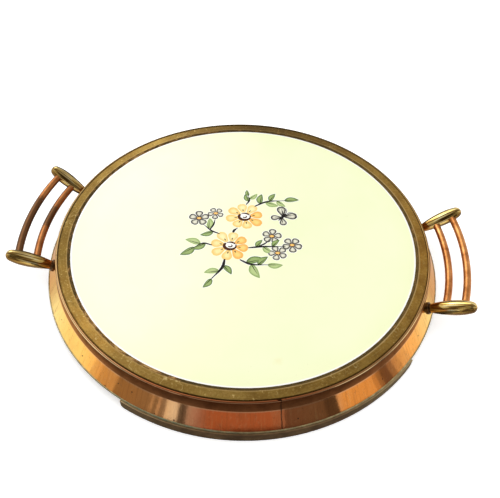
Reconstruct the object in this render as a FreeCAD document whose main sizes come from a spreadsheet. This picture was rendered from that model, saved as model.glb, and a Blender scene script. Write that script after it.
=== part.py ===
import FreeCAD, Part
import Sketcher
import math
import os

# A round two-handled serving tray of copper and brass with a decorated glazed panel.
# The origin is the middle of the plane that the tray stands on. +Z is up, and the two
# handles lie along -X (left) and +X (right). The curved front foot is on the -Y side.

from FreeCAD import Placement, Rotation, Vector

PARTS_FOLDER = "parts"
ARC_POINTS = {"start": 1, "end": 2, "centre": 3}
ON_X_AXIS = -1
ON_Y_AXIS = -2
ORIGIN_POINT = (-1, 1)

DRIVING_SIZES = {
    # decorated panel, its felt and the board below it
    "panel_radius": 157.0,
    "panel_gauge": 5.0,
    "panel_top": 34.0,
    "panel_edge_break": 0.6,
    "felt_gauge": 1.5,
    "board_radius": 161.0,
    "board_gauge": 4.5,
    # brass frame ring
    "sight_radius": 152.4,
    "lip_width": 2.5,
    "lip_edge": 0.2,
    "frame_radius": 163.0,
    "frame_gauge": 1.0,
    "frame_skirt": 12.0,
    "frame_step": 0.5,
    "tab_width": 10.0,
    "tab_length": 7.5,
    "tab_count": 8,
    # rolled copper band
    "copper_gauge": 0.9,
    "roll_radius": 165.1,
    "roll_size": 1.1,
    "neck_bow": 14.0,
    "crease_radius": 166.6,
    "crease_top": 24.7,
    "skirt_drop": 14.0,
    "skirt_slope": 30.8,
    "seam_gap": 0.35,
    "seam_azimuth": -73.3,
    "strap_width": 16.0,
    "strap_start": 2.0,
    "strap_end": 12.5,
    # brass base pan
    "pan_radius": 175.9,
    "pan_gauge": 0.8,
    "hem_width": 2.3,
    "hem_rise": 1.5,
    "hem_round": 0.7,
    # curved feet
    "foot_rise": 9.2,
    "foot_radius": 177.0,
    "foot_gauge": 2.2,
    "foot_sweep": 82.4,
    "flange_reach": 14.0,
    "flange_gauge": 1.6,
    "foot_corner": 3.0,
    "rivet_radius": 1.6,
    "rivet_head": 3.2,
    "rivet_crown": 1.5,
    "rivet_circle": 167.0,
    "rivet_spread": 66.0,
    # handles
    "handle_spread": 16.05,
    "post_drop": 7.0,
    "post_reach": 37.4,
    "post_radius": 6.35,
    "post_waist": 3.9,
    "post_belly": 22.0,
    "post_nose": 5.0,
    "collar_radius": 5.2,
    "collar_neck": 4.1,
    "collar_flange": 1.4,
    "collar_reach": 3.0,
    "rod_radius": 3.175,
    "inner_rod_reach": 11.7,
    "outer_rod_reach": 27.1,
    "socket_slack": 0.08,
    "socket_floor": 1.5,
    # screws and washers
    "screw_radius": 2.0,
    "screw_head": 3.8,
    "screw_crown": 2.6,
    "screw_slack": 0.2,
    "post_screw_bite": 7.4,
    "thread_ease": 0.02,
    "thread_run": 0.5,
    "washer_radius": 6.0,
    "washer_gauge": 1.0,
    "washer_stand": 0.15,
    "slot_width": 1.0,
    "slot_depth": 1.1,
    "tie_circle": 118.0,
    "tie_count": 4,
    "tube_radius": 4.5,
    "nut_radius": 4.04,
    "nut_gauge": 3.2,
    "nut_recess": 4.6,
    "nut_clear": 0.1,
    "tie_tip_clear": 0.2,
}


class Size:
    """A size with its present value and the sheet expression that gives it."""

    def __init__(self, value, text):
        self.value = float(value)
        self.text = text

    def joined(self, other, sign, value):
        return Size(value, "(%s %s %s)" % (self.text, sign, sized(other).text))

    def __add__(self, other):
        return self.joined(other, "+", self.value + sized(other).value)

    def __sub__(self, other):
        return self.joined(other, "-", self.value - sized(other).value)

    def __mul__(self, other):
        return self.joined(other, "*", self.value * sized(other).value)

    def __truediv__(self, other):
        return self.joined(other, "/", self.value / sized(other).value)

    def tan(self):
        return Size(math.tan(math.radians(self.value)), "tan(%s * 1 deg)" % self.text)

    def cos(self):
        return Size(math.cos(math.radians(self.value)), "cos(%s * 1 deg)" % self.text)

    def sin(self):
        return Size(math.sin(math.radians(self.value)), "sin(%s * 1 deg)" % self.text)


def sized(number):
    if isinstance(number, Size):
        return number
    return Size(number, repr(float(number)))


doc = FreeCAD.newDocument("Tray")
sheet = doc.addObject("Spreadsheet::Sheet", "Sizes")
for row, (alias, value) in enumerate(DRIVING_SIZES.items(), start=1):
    sheet.set("A%d" % row, alias)
    sheet.set("B%d" % row, repr(value))
    sheet.setAlias("B%d" % row, alias)
doc.recompute()


def dim(alias):
    return Size(getattr(sheet, alias), "Sizes.%s" % alias)


ZERO = sized(0)
handed_in = []


def hand_in(feature, label):
    """Give a finished sub-part the name that its file gets."""
    feature.Label = label
    handed_in.append(feature)
    return feature


# ---------------------------------------------------------------- shared modelling steps


def new_body(name):
    return doc.addObject("PartDesign::Body", name)


def origin_feature(body, role):
    return next(item for item in body.Origin.OriginFeatures if item.Role == role)


def new_sketch(body, name, role="XZ_Plane", offset=None):
    sketch = body.newObject("Sketcher::SketchObject", name)
    sketch.AttachmentSupport = [(origin_feature(body, role), "")]
    sketch.MapMode = "FlatFace"
    if offset is not None:
        sketch.AttachmentOffset = offset
    return sketch


def hold(sketch, kind, size, *place):
    """Add one dimension to a sketch and bind it to the sheet."""
    index = sketch.addConstraint(Sketcher.Constraint(kind, *place, size.value))
    sketch.setExpression("Constraints[%d]" % index, size.text)


def pin_point(sketch, edge, point, x, y):
    if x is ZERO:
        sketch.addConstraint(Sketcher.Constraint("PointOnObject", edge, point, ON_Y_AXIS))
    else:
        hold(sketch, "DistanceX", x, *ORIGIN_POINT, edge, point)
    if y is ZERO:
        sketch.addConstraint(Sketcher.Constraint("PointOnObject", edge, point, ON_X_AXIS))
    else:
        hold(sketch, "DistanceY", y, *ORIGIN_POINT, edge, point)


def arc_between(start, end, radius, left):
    """An arc from start to end. Its centre is on the left of the way from start to end, or not."""
    chord = end - start
    middle = (start + end) * 0.5
    rise = math.sqrt(max(radius ** 2 - (chord.Length / 2) ** 2, 0.0))
    normal = Vector(-chord.y, chord.x, 0).normalize()
    centre = middle + normal * (rise if left else -rise)
    first, last = (start, end) if left else (end, start)
    angles = [math.atan2(p.y - centre.y, p.x - centre.x) for p in (first, last)]
    if angles[1] < angles[0]:
        angles[1] += 2 * math.pi
    return Part.ArcOfCircle(Part.Circle(centre, Vector(0, 0, 1), radius), *angles)


def draw_outline(sketch, corners):
    """Close an outline. A corner is (x, y), or (x, y, radius, left) at the end of a round step."""
    ends = []
    points = [Vector(c[0].value, c[1].value, 0) for c in corners]
    for number, corner in enumerate(corners):
        start = points[number - 1]
        end = points[number]
        if len(corner) == 2:
            edge = sketch.addGeometry(Part.LineSegment(start, end))
            ends.append((edge, ARC_POINTS["start"], ARC_POINTS["end"]))
            continue
        radius, left = corner[2:]
        edge = sketch.addGeometry(arc_between(start, end, radius.value, left))
        order = ("start", "end") if left else ("end", "start")
        ends.append((edge, ARC_POINTS[order[0]], ARC_POINTS[order[1]]))
    for number, corner in enumerate(corners):
        edge, _, last = ends[number]
        following, first, _ = ends[(number + 1) % len(ends)]
        sketch.addConstraint(Sketcher.Constraint("Coincident", edge, last, following, first))
        pin_point(sketch, edge, last, corner[0], corner[1])
        if len(corner) > 2:
            hold(sketch, "Radius", corner[2], edge)


def revolve(body, name, sketch, sweep=None):
    """Turn a profile about the vertical axis, all the way or by a sweep centred on its plane."""
    feature = body.newObject("PartDesign::Revolution", name)
    feature.Profile = sketch
    feature.ReferenceAxis = (sketch, ["V_Axis"])
    if sweep is None:
        feature.Angle = 360
    else:
        feature.Midplane = True
        feature.Angle = sweep.value
        feature.setExpression("Angle", sweep.text)
    sketch.Visibility = False
    doc.recompute()
    return feature


def turned_body(name, corners, sweep=None):
    body = new_body(name)
    sketch = new_sketch(body, name + "_profile")
    draw_outline(sketch, corners)
    revolve(body, name + "_turned", sketch, sweep)
    return body


def cut_circles(body, name, circles, deep, role="XY_Plane", offset=None, reverse=False):
    """Sink round holes. Each circle is (x, y, radius), and deep is None for through all."""
    sketch = new_sketch(body, name + "_circles", role, offset)
    for x, y, radius in circles:
        shape = Part.Circle(Vector(x.value, y.value, 0), Vector(0, 0, 1), radius.value)
        edge = sketch.addGeometry(shape)
        pin_point(sketch, edge, ARC_POINTS["centre"], x, y)
        hold(sketch, "Radius", radius, edge)
    before = body.Shape.Volume
    pocket = body.newObject("PartDesign::Pocket", name)
    pocket.Profile = sketch
    pocket.Reversed = reverse
    if deep is None:
        pocket.Type = "ThroughAll"
        pocket.Midplane = True
    else:
        pocket.Length = deep.value
        pocket.setExpression("Length", deep.text)
    sketch.Visibility = False
    doc.recompute()
    if body.Shape.Volume > before - 1e-3:
        raise RuntimeError("%s cuts nothing" % name)
    return pocket


def polar(body, name, originals, count, sweep=None):
    """Repeat features about the vertical axis, all round or over a sweep."""
    pattern = body.newObject("PartDesign::PolarPattern", name)
    pattern.Originals = originals
    pattern.Axis = (origin_feature(body, "Z_Axis"), [""])
    pattern.Angle = 360
    if sweep is not None:
        pattern.Angle = sweep.value
        pattern.setExpression("Angle", sweep.text)
    pattern.Occurrences = int(count.value)
    pattern.setExpression("Occurrences", count.text)
    body.Tip = pattern
    doc.recompute()
    return pattern


def cylinder(name, radius, height, base=Vector(), rotation=Rotation()):
    feature = doc.addObject("Part::Cylinder", name)
    for prop, size in (("Radius", radius), ("Height", height)):
        setattr(feature, prop, size.value)
        feature.setExpression(prop, size.text)
    feature.Placement = Placement(base, rotation)
    return feature


def boolean(kind, name, pieces):
    feature = doc.addObject("Part::" + kind, name)
    if kind == "Cut":
        feature.Base, feature.Tool = pieces
    else:
        feature.Shapes = pieces
    for piece in pieces:
        piece.Visibility = False
    return feature


def group(name, master, placements):
    """One node of several alike solids, each a link to the same master piece."""
    links = []
    for number, placement in enumerate(placements, start=1):
        link = doc.addObject("App::Link", "%s_%d" % (name, number))
        link.LinkedObject = master
        link.LinkTransform = False
        link.Placement = placement
        links.append(link)
    compound = doc.addObject("Part::Compound", name)
    compound.Links = links
    return compound


def turn(azimuth, radius=0.0, height=0.0, before=Rotation()):
    """A placement at an azimuth in degrees, facing outward."""
    spin = Rotation(Vector(0, 0, 1), azimuth)
    return Placement(spin.multVec(Vector(radius, 0, height)), spin * before)


# ---------------------------------------------------------------- levels and handle places

panel_low = dim("panel_top") - dim("panel_gauge")
felt_low = panel_low - dim("felt_gauge")
board_low = felt_low - dim("board_gauge")
frame_top = dim("panel_top") + dim("frame_gauge")
pan_low = dim("foot_rise")
pan_floor = pan_low + dim("pan_gauge")
hem_top = pan_low + dim("hem_rise")
skirt_low = dim("crease_top") - dim("skirt_drop")
skirt_radius = dim("crease_radius") + dim("skirt_drop") * dim("skirt_slope").tan()
wall_width = dim("copper_gauge") / dim("skirt_slope").cos()

# A post stands square on the sloping skirt, so it rises at the slope of the skirt.
root_radius = dim("crease_radius") + dim("post_drop") * dim("skirt_slope").sin()
root_height = dim("crease_top") - dim("post_drop") * dim("skirt_slope").cos()
rod_places = {}
for rod in ("inner", "outer"):
    along = dim(rod + "_rod_reach") + dim("collar_reach")
    rod_places[rod] = (
        root_radius + along * dim("skirt_slope").cos(),
        root_height + along * dim("skirt_slope").sin(),
    )

OUTWARD = Rotation(Vector(0, 1, 0), 90 - dim("skirt_slope").value)
SPREAD = dim("handle_spread").value
# Each post: its azimuth, and whether its rod sockets face the way of rising azimuth.
POSTS = {
    "right_front": (-SPREAD, False),
    "right_back": (SPREAD, True),
    "left_back": (180 - SPREAD, False),
    "left_front": (180 + SPREAD, True),
}


def on_skirt(azimuth, stand, flipped=False):
    """A placement whose Z points out of the skirt, standing off its outer face."""
    spin = Rotation(Vector(0, 0, 1), 180 if flipped else 0)
    facing = Rotation(Vector(0, 0, 1), azimuth) * OUTWARD
    root = Rotation(Vector(0, 0, 1), azimuth).multVec(Vector(root_radius.value, 0, root_height.value))
    return Placement(root + facing.multVec(Vector(0, 0, stand)), facing * spin)


TIE_PLACES = [45.0 + 90.0 * number for number in range(int(dim("tie_count").value))]


# ---------------------------------------------------------------- panel, felt and board


def make_panel():
    blank = cylinder("panel_blank", dim("panel_radius"), dim("panel_gauge"), Vector(0, 0, panel_low.value))
    doc.recompute()
    panel = doc.addObject("Part::Chamfer", "decor_panel")
    panel.Base = blank
    rims = [n for n, edge in enumerate(blank.Shape.Edges, start=1) if isinstance(edge.Curve, Part.Circle)]
    edge_break = dim("panel_edge_break").value
    panel.Edges = [(n, edge_break, edge_break) for n in rims]
    blank.Visibility = False
    hand_in(panel, "decor_panel")


def make_felt():
    felt = cylinder("felt_sheet", dim("panel_radius"), dim("felt_gauge"), Vector(0, 0, felt_low.value))
    hand_in(felt, "panel_felt")


def make_board():
    """A pressed-board disc with a counterbored hole for each tie screw."""
    body = new_body("board")
    sketch = new_sketch(body, "board_circle", "XY_Plane")
    edge = sketch.addGeometry(Part.Circle(Vector(), Vector(0, 0, 1), dim("board_radius").value))
    sketch.addConstraint(Sketcher.Constraint("Coincident", edge, ARC_POINTS["centre"], *ORIGIN_POINT))
    hold(sketch, "Radius", dim("board_radius"), edge)
    pad = body.newObject("PartDesign::Pad", "board_disc")
    pad.Profile = sketch
    pad.Length = dim("board_gauge").value
    pad.setExpression("Length", dim("board_gauge").text)
    sketch.Visibility = False
    doc.recompute()
    place = (dim("tie_circle") * sized(45).cos(), dim("tie_circle") * sized(45).sin())
    bore = cut_circles(body, "tie_bore", [place + (dim("screw_radius") + dim("screw_slack"),)], None)
    top = Placement(Vector(0, 0, dim("board_gauge").value), Rotation())
    deep = dim("nut_gauge") + dim("nut_clear")
    recess = cut_circles(body, "nut_recess", [place + (dim("nut_recess"),)], deep, offset=top)
    polar(body, "tie_bores", [bore, recess], dim("tie_count"))
    body.Placement = Placement(Vector(0, 0, board_low.value), Rotation())
    hand_in(body, "support_board")


# ---------------------------------------------------------------- brass frame ring


def make_frame():
    """A flat ring with a bevelled lip over the panel, a side wall, and tabs folded under the board."""
    gauge = dim("frame_gauge")
    step = dim("frame_step")
    shoulder = dim("frame_radius") - step
    ledge = dim("panel_top")
    corners = [
        (dim("sight_radius"), ledge),
        (dim("sight_radius"), ledge + dim("lip_edge")),
        (dim("sight_radius") + dim("lip_width"), frame_top),
        (shoulder - step, frame_top),
        (shoulder, frame_top - step, step, False),
        (shoulder, ledge),
        (dim("frame_radius") + step, ledge),
        (dim("frame_radius") + step, ledge - gauge),
        (dim("frame_radius"), ledge - gauge),
        (dim("frame_radius"), ledge - dim("frame_skirt")),
        (dim("frame_radius") - gauge, ledge - dim("frame_skirt")),
        (dim("frame_radius") - gauge, ledge),
    ]
    body = turned_body("frame", corners)
    tab_level = ledge - dim("frame_skirt")
    low = Placement(Vector(0, 0, tab_level.value), Rotation())
    sketch = new_sketch(body, "tab_outline", "XY_Plane", low)
    half = dim("tab_width") / 2
    near = dim("frame_radius") - gauge - dim("tab_length")
    far = dim("frame_radius") - gauge * 0.5
    points = [Vector(near.value, -half.value), Vector(far.value, -half.value)]
    points += [Vector(far.value, half.value), Vector(near.value, half.value)]
    edges = [sketch.addGeometry(Part.LineSegment(points[n - 1], points[n])) for n in range(4)]
    for n, edge in enumerate(edges):
        sketch.addConstraint(Sketcher.Constraint("Coincident", edge, 2, edges[(n + 1) % 4], 1))
    for edge in (edges[0], edges[2]):
        sketch.addConstraint(Sketcher.Constraint("Vertical", edge))
    for edge in (edges[1], edges[3]):
        sketch.addConstraint(Sketcher.Constraint("Horizontal", edge))
    hold(sketch, "DistanceX", near, *ORIGIN_POINT, edges[0], 2)
    hold(sketch, "DistanceX", far, *ORIGIN_POINT, edges[2], 1)
    hold(sketch, "DistanceY", half, *ORIGIN_POINT, edges[0], 1)
    hold(sketch, "DistanceY", dim("tab_width"), edges[0], 2, edges[0], 1)
    pad = body.newObject("PartDesign::Pad", "tab")
    pad.Profile = sketch
    pad.Length = gauge.value
    pad.setExpression("Length", gauge.text)
    sketch.Visibility = False
    doc.recompute()
    polar(body, "tabs", [pad], dim("tab_count"))
    body.Placement = turn(180.0 / dim("tab_count").value)
    hand_in(body, "frame_ring")


# ---------------------------------------------------------------- copper band and its seam


def skirt_inner(drop):
    """The inner radius of the skirt at a drop below the crease."""
    return dim("crease_radius") + drop * dim("skirt_slope").tan() - wall_width


def make_band():
    """One strip of copper: rolled over the frame's edge, cove neck, crease and flared skirt."""
    gauge = dim("copper_gauge")
    roll = dim("roll_size")
    ledge = dim("panel_top")
    roll_top = ledge + roll
    roll_low = ledge - roll
    roll_middle = dim("roll_radius") - roll
    neck_top = dim("roll_radius") - roll * 0.5
    bow = dim("neck_bow")
    corners = [
        (roll_middle - roll, ledge),
        (roll_middle, roll_top, roll, False),
        (dim("roll_radius"), ledge, roll, False),
        (neck_top, roll_low, roll, False),
        (dim("crease_radius"), dim("crease_top"), bow, True),
        (skirt_radius, skirt_low),
        (skirt_radius - wall_width, skirt_low),
        (dim("crease_radius") - wall_width, dim("crease_top")),
        (neck_top - gauge, roll_low, bow + gauge, False),
        (neck_top - gauge, ledge),
    ]
    body = turned_body("band", corners)
    cutters = []
    reach = dim("copper_gauge") * 6
    bore = dim("screw_radius") + dim("screw_slack")
    for post, (azimuth, _) in POSTS.items():
        place = on_skirt(azimuth, -reach.value / 2)
        cutters.append(cylinder(post + "_bore", bore, reach, place.Base, place.Rotation))
    slit = doc.addObject("Part::Box", "seam_slit")
    slit_sizes = (("Length", dim("strap_width") * 2), ("Width", dim("seam_gap")), ("Height", frame_top + 5))
    for prop, size in slit_sizes:
        setattr(slit, prop, size.value)
        slit.setExpression(prop, size.text)
    slit_start = dim("crease_radius").value - dim("strap_width").value
    spin = Rotation(Vector(0, 0, 1), dim("seam_azimuth").value)
    corner = spin.multVec(Vector(slit_start, -dim("seam_gap").value / 2, 0))
    slit.Placement = Placement(corner, spin)
    cutters.append(slit)
    tools = boolean("MultiFuse", "band_cutters", cutters)
    hand_in(boolean("Cut", "copper_band", [body, tools]), "copper_band")


def make_seam_strap():
    """A short conical strip soldered behind the butt seam."""
    high = dim("strap_start")
    low = dim("strap_end")
    rise = dim("crease_top") - high
    fall = dim("crease_top") - low
    thick = wall_width
    corners = [
        (skirt_inner(high), rise),
        (skirt_inner(low), fall),
        (skirt_inner(low) - thick, fall),
        (skirt_inner(high) - thick, rise),
    ]
    sweep = dim("strap_width") / dim("crease_radius") * math.degrees(1)
    body = turned_body("strap", corners, sweep)
    body.Placement = turn(dim("seam_azimuth").value)
    hand_in(body, "seam_strap")


# ---------------------------------------------------------------- base pan and its feet


def foot_azimuths():
    front = dim("seam_azimuth").value
    return {"front": front, "back": front + 180.0}


def rivet_azimuths(foot):
    half = dim("rivet_spread").value / 2
    middle = foot_azimuths()[foot]
    return [middle - half, middle, middle + half]


def make_pan():
    """The bottom sheet. Its edge is folded up into a round hem under the copper skirt."""
    outer = dim("pan_radius")
    bend = dim("hem_round")
    corners = [
        (ZERO, pan_low),
        (outer - bend, pan_low),
        (outer, pan_low + bend, bend, True),
        (outer, hem_top - bend),
        (outer - bend, hem_top, bend, True),
        (outer - dim("hem_width"), hem_top),
        (outer - dim("hem_width"), pan_floor),
        (ZERO, pan_floor),
    ]
    body = turned_body("pan", corners)
    bore = dim("screw_radius") + dim("screw_slack")
    place = (dim("tie_circle") * sized(45).cos(), dim("tie_circle") * sized(45).sin())
    tie_bore = cut_circles(body, "pan_tie_bore", [place + (bore,)], None)
    polar(body, "pan_tie_bores", [tie_bore], dim("tie_count"))
    cutters = []
    reach = dim("pan_gauge") * 4
    for foot in foot_azimuths():
        for number, azimuth in enumerate(rivet_azimuths(foot)):
            base = turn(azimuth, dim("rivet_circle").value, pan_low.value - dim("pan_gauge").value)
            name = "pan_%s_rivet_bore_%d" % (foot, number)
            cutters.append(cylinder(name, dim("rivet_radius"), reach, base.Base))
    tools = boolean("MultiFuse", "pan_cutters", cutters)
    hand_in(boolean("Cut", "base_pan", [body, tools]), "base_pan")


def make_foot(foot, azimuth):
    """A curved angle strip. Its flange lies under the pan, and its lower end corners are round."""
    outer = dim("foot_radius")
    inner = outer - dim("foot_gauge")
    flange_low = pan_low - dim("flange_gauge")
    corners = [
        (outer, ZERO),
        (outer, pan_low),
        (outer - dim("flange_reach"), pan_low),
        (outer - dim("flange_reach"), flange_low),
        (inner, flange_low),
        (inner, ZERO),
    ]
    body = turned_body(foot + "_angle", corners, dim("foot_sweep"))
    bore = dim("rivet_radius")
    half = dim("rivet_spread") / 2
    places = [(dim("rivet_circle") * half.cos(), dim("rivet_circle") * half.sin(), bore)]
    first = cut_circles(body, foot + "_rivet_bore", places, None)
    backwards = polar(body, foot + "_rivet_bores", [first], sized(3), dim("rivet_spread"))
    backwards.Reversed = True
    doc.recompute()
    ends = []
    for number, edge in enumerate(body.Shape.Edges, start=1):
        box = edge.BoundBox
        straight = isinstance(edge.Curve, Part.Line)
        if straight and box.ZMax < 0.01 and abs(edge.Length - dim("foot_gauge").value) < 0.01:
            ends.append("Edge%d" % number)
    if len(ends) != 2:
        raise RuntimeError("%s foot has %d lower end edges" % (foot, len(ends)))
    rounding = body.newObject("PartDesign::Fillet", foot + "_corners")
    rounding.Base = (backwards, ends)
    rounding.Radius = dim("foot_corner").value
    rounding.setExpression("Radius", dim("foot_corner").text)
    doc.recompute()
    body.Placement = turn(azimuth)
    hand_in(body, foot + "_foot")


def make_rivets():
    """A rivet for each hole of the feet: head below the flange, turned-over head in the pan."""
    grip = dim("flange_gauge") + dim("pan_gauge")
    crown = dim("rivet_crown")
    shank = dim("rivet_radius")
    head = dim("rivet_head")
    dome = (head * head + crown * crown) / (crown * 2)
    corners = [
        (ZERO, ZERO),
        (head, crown, dome, True),
        (shank, crown),
        (shank, crown + grip),
        (head, crown + grip),
        (ZERO, crown * 2 + grip, dome, True),
    ]
    master = turned_body("rivet", corners)
    master.Visibility = False
    low = pan_low.value - dim("flange_gauge").value - crown.value
    for foot in foot_azimuths():
        places = [turn(a, dim("rivet_circle").value, low) for a in rivet_azimuths(foot)]
        hand_in(group(foot + "_rivets", master, places), foot + "_foot_rivets")


# ---------------------------------------------------------------- tie screws through the body


def slotted_screw(name, shank_length):
    """A round-head slotted screw. Its shank points up from the underside of its head."""
    head = dim("screw_head")
    crown = dim("screw_crown")
    dome = (head * head + crown * crown) / (crown * 2)
    corners = [
        (ZERO, ZERO),
        (head, crown, dome, True),
        (dim("screw_radius"), crown),
        (dim("screw_radius"), crown + shank_length),
        (ZERO, crown + shank_length),
    ]
    body = turned_body(name + "_turned", corners)
    slot = doc.addObject("Part::Box", name + "_slot")
    for prop, size in (("Length", head * 3), ("Width", dim("slot_width")), ("Height", dim("slot_depth"))):
        setattr(slot, prop, size.value)
        slot.setExpression(prop, size.text)
    corner = Vector(-head.value * 1.5, -dim("slot_width").value / 2, 0)
    slot.Placement = Placement(corner, Rotation())
    screw = boolean("Cut", name, [body, slot])
    screw.Visibility = False
    doc.recompute()
    return screw


def make_tie_set():
    """Four screws that clamp the pan, the spacing tubes and the board."""
    radius = dim("tie_circle").value
    crown = dim("screw_crown")
    shank = felt_low - pan_low - dim("tie_tip_clear")
    screw = slotted_screw("tie_screw", shank)
    # each screw stopped at its own angle when it was tight
    slot_turns = [20.0, 75.0, 140.0, 5.0]
    places = []
    for azimuth, slot_turn in zip(TIE_PLACES, slot_turns):
        spin = Rotation(Vector(0, 0, 1), slot_turn)
        places.append(turn(azimuth, radius, pan_low.value - crown.value, spin))
    hand_in(group("tie_screw_set", screw, places), "tie_screws")

    bore = dim("screw_radius") + dim("screw_slack")
    length = board_low - pan_floor
    outside = cylinder("tube_outside", dim("tube_radius"), length)
    inside = cylinder("tube_inside", bore, length)
    tube = boolean("Cut", "tube", [outside, inside])
    tube.Visibility = False
    places = [turn(azimuth, radius, pan_floor.value) for azimuth in TIE_PLACES]
    hand_in(group("tube_set", tube, places), "spacing_tubes")

    prism = doc.addObject("Part::Prism", "nut_blank")
    prism.Polygon = 6
    for prop, size in (("Circumradius", dim("nut_radius")), ("Height", dim("nut_gauge"))):
        setattr(prism, prop, size.value)
        prism.setExpression(prop, size.text)
    thread = cylinder("nut_thread", dim("screw_radius"), dim("nut_gauge"))
    nut = boolean("Cut", "tie_nut", [prism, thread])
    nut.Visibility = False
    level = (felt_low - dim("nut_gauge") - dim("nut_clear")).value
    places = [turn(azimuth, radius, level) for azimuth in TIE_PLACES]
    hand_in(group("nut_set", nut, places), "tie_nuts")


# ---------------------------------------------------------------- handles


def post_profile(sketch):
    """Waist, swelling side and round nose, each arc tangent to the next, on the post's own axis."""
    reach = dim("post_reach").value
    thick = dim("post_radius").value
    waist = dim("post_waist").value
    belly = dim("post_belly").value
    nose = dim("post_nose").value
    lower = ((thick - waist) ** 2 + belly ** 2) / (2 * (thick - waist))
    rise = reach - nose - belly
    upper = (rise ** 2 + thick ** 2 - nose ** 2) / (2 * (thick - nose))
    lean = math.atan2(rise, upper - thick)
    up = Vector(0, 0, 1)
    arcs = [
        (Vector(thick - lower, belly, 0), lower, -math.asin(belly / lower), 0.0),
        (Vector(thick - upper, belly, 0), upper, 0.0, lean),
        (Vector(0, reach - nose, 0), nose, lean, math.pi / 2),
    ]
    side, shoulder, tip = [
        sketch.addGeometry(Part.ArcOfCircle(Part.Circle(centre, up, radius), start, end))
        for centre, radius, start, end in arcs
    ]
    axis = sketch.addGeometry(Part.LineSegment(Vector(0, reach, 0), Vector()))
    base = sketch.addGeometry(Part.LineSegment(Vector(), Vector(waist, 0, 0)))
    start, end, centre = ARC_POINTS["start"], ARC_POINTS["end"], ARC_POINTS["centre"]
    add = sketch.addConstraint
    add(Sketcher.Constraint("Coincident", axis, end, *ORIGIN_POINT))
    add(Sketcher.Constraint("Coincident", base, start, *ORIGIN_POINT))
    add(Sketcher.Constraint("PointOnObject", base, end, ON_X_AXIS))
    add(Sketcher.Constraint("Coincident", base, end, side, start))
    add(Sketcher.Constraint("Tangent", side, end, shoulder, start))
    add(Sketcher.Constraint("Tangent", shoulder, end, tip, start))
    add(Sketcher.Constraint("Coincident", tip, end, axis, start))
    add(Sketcher.Constraint("PointOnObject", tip, end, ON_Y_AXIS))
    add(Sketcher.Constraint("PointOnObject", tip, centre, ON_Y_AXIS))
    add(Sketcher.Constraint("Horizontal", side, centre, side, end))
    hold(sketch, "DistanceX", dim("post_waist"), *ORIGIN_POINT, base, end)
    hold(sketch, "DistanceX", dim("post_radius"), *ORIGIN_POINT, side, end)
    hold(sketch, "DistanceY", dim("post_belly"), *ORIGIN_POINT, side, end)
    hold(sketch, "Radius", dim("post_nose"), tip)
    hold(sketch, "DistanceY", dim("post_reach"), *ORIGIN_POINT, tip, end)


def make_post(name, azimuth, sockets_ahead):
    """A turned brass post with a threaded hole in its root and a blind socket for each rod."""
    body = new_body(name + "_post_body")
    sketch = new_sketch(body, name + "_post_profile")
    post_profile(sketch)
    revolve(body, name + "_post_turned", sketch)
    thread = [(ZERO, ZERO, dim("screw_radius") + dim("thread_ease"))]
    cut_circles(body, name + "_thread", thread, dim("post_screw_bite") + dim("thread_run"), reverse=True)
    socket = dim("rod_radius") + dim("socket_slack")
    circles = [(ZERO, dim(rod + "_rod_reach"), socket) for rod in ("inner", "outer")]
    floor = Placement(Vector(0, 0, -dim("socket_floor").value), Rotation())
    cut_circles(body, name + "_sockets", circles, dim("post_radius") * 2, "XZ_Plane", floor, reverse=True)
    body.Placement = on_skirt(azimuth, dim("collar_reach").value, not sockets_ahead)
    hand_in(body, name + "_post")


def make_collar(name, azimuth):
    """A small flanged collar between the skirt and the post."""
    bore = dim("screw_radius") + dim("screw_slack")
    reach = dim("collar_reach")
    flange = dim("collar_flange")
    rounding = flange * 0.4
    corners = [
        (bore, ZERO),
        (dim("collar_radius"), ZERO),
        (dim("collar_radius"), flange - rounding),
        (dim("collar_radius") - rounding, flange, rounding, True),
        (dim("collar_neck"), flange),
        (dim("post_waist"), reach),
        (bore, reach),
    ]
    body = turned_body(name + "_collar_body", corners)
    body.Placement = on_skirt(azimuth, 0.0)
    hand_in(body, name + "_collar")


def make_rod(side, rod):
    """A copper rod bent to an arc about the tray's axis. Its ends stop at the socket floors."""
    radius, height = rod_places[rod]
    end_clear = 0.02
    short = math.degrees(dim("socket_floor").value / radius.value) + end_clear
    torus = doc.addObject("Part::Torus", "%s_%s_arc" % (side, rod))
    sweep = (dim("handle_spread") - short) * 2
    for prop, size in (("Radius1", radius), ("Radius2", dim("rod_radius")), ("Angle3", sweep)):
        setattr(torus, prop, size.value)
        torus.setExpression(prop, size.text)
    middle = 180.0 if side == "left" else 0.0
    torus.Placement = turn(middle - sweep.value / 2, 0.0, height.value)
    hand_in(torus, "%s_%s_rod" % (side, rod))


def make_post_fasteners():
    """A slotted screw and a washer inside the skirt for each post."""
    crown = dim("screw_crown")
    inside = dim("copper_gauge") + dim("washer_stand") + dim("washer_gauge")
    shank = inside + dim("collar_reach") + dim("post_screw_bite")
    screw = slotted_screw("post_screw", shank)
    stand = -inside.value - crown.value
    places = [on_skirt(azimuth, stand) for azimuth, _ in POSTS.values()]
    hand_in(group("post_screw_set", screw, places), "post_screws")

    outside = cylinder("washer_outside", dim("washer_radius"), dim("washer_gauge"))
    hole = cylinder("washer_hole", dim("screw_radius") + dim("screw_slack"), dim("washer_gauge"))
    washer = boolean("Cut", "washer", [outside, hole])
    washer.Visibility = False
    places = [on_skirt(azimuth, -inside.value) for azimuth, _ in POSTS.values()]
    hand_in(group("washer_set", washer, places), "post_washers")


# ---------------------------------------------------------------- assembly and export

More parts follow.
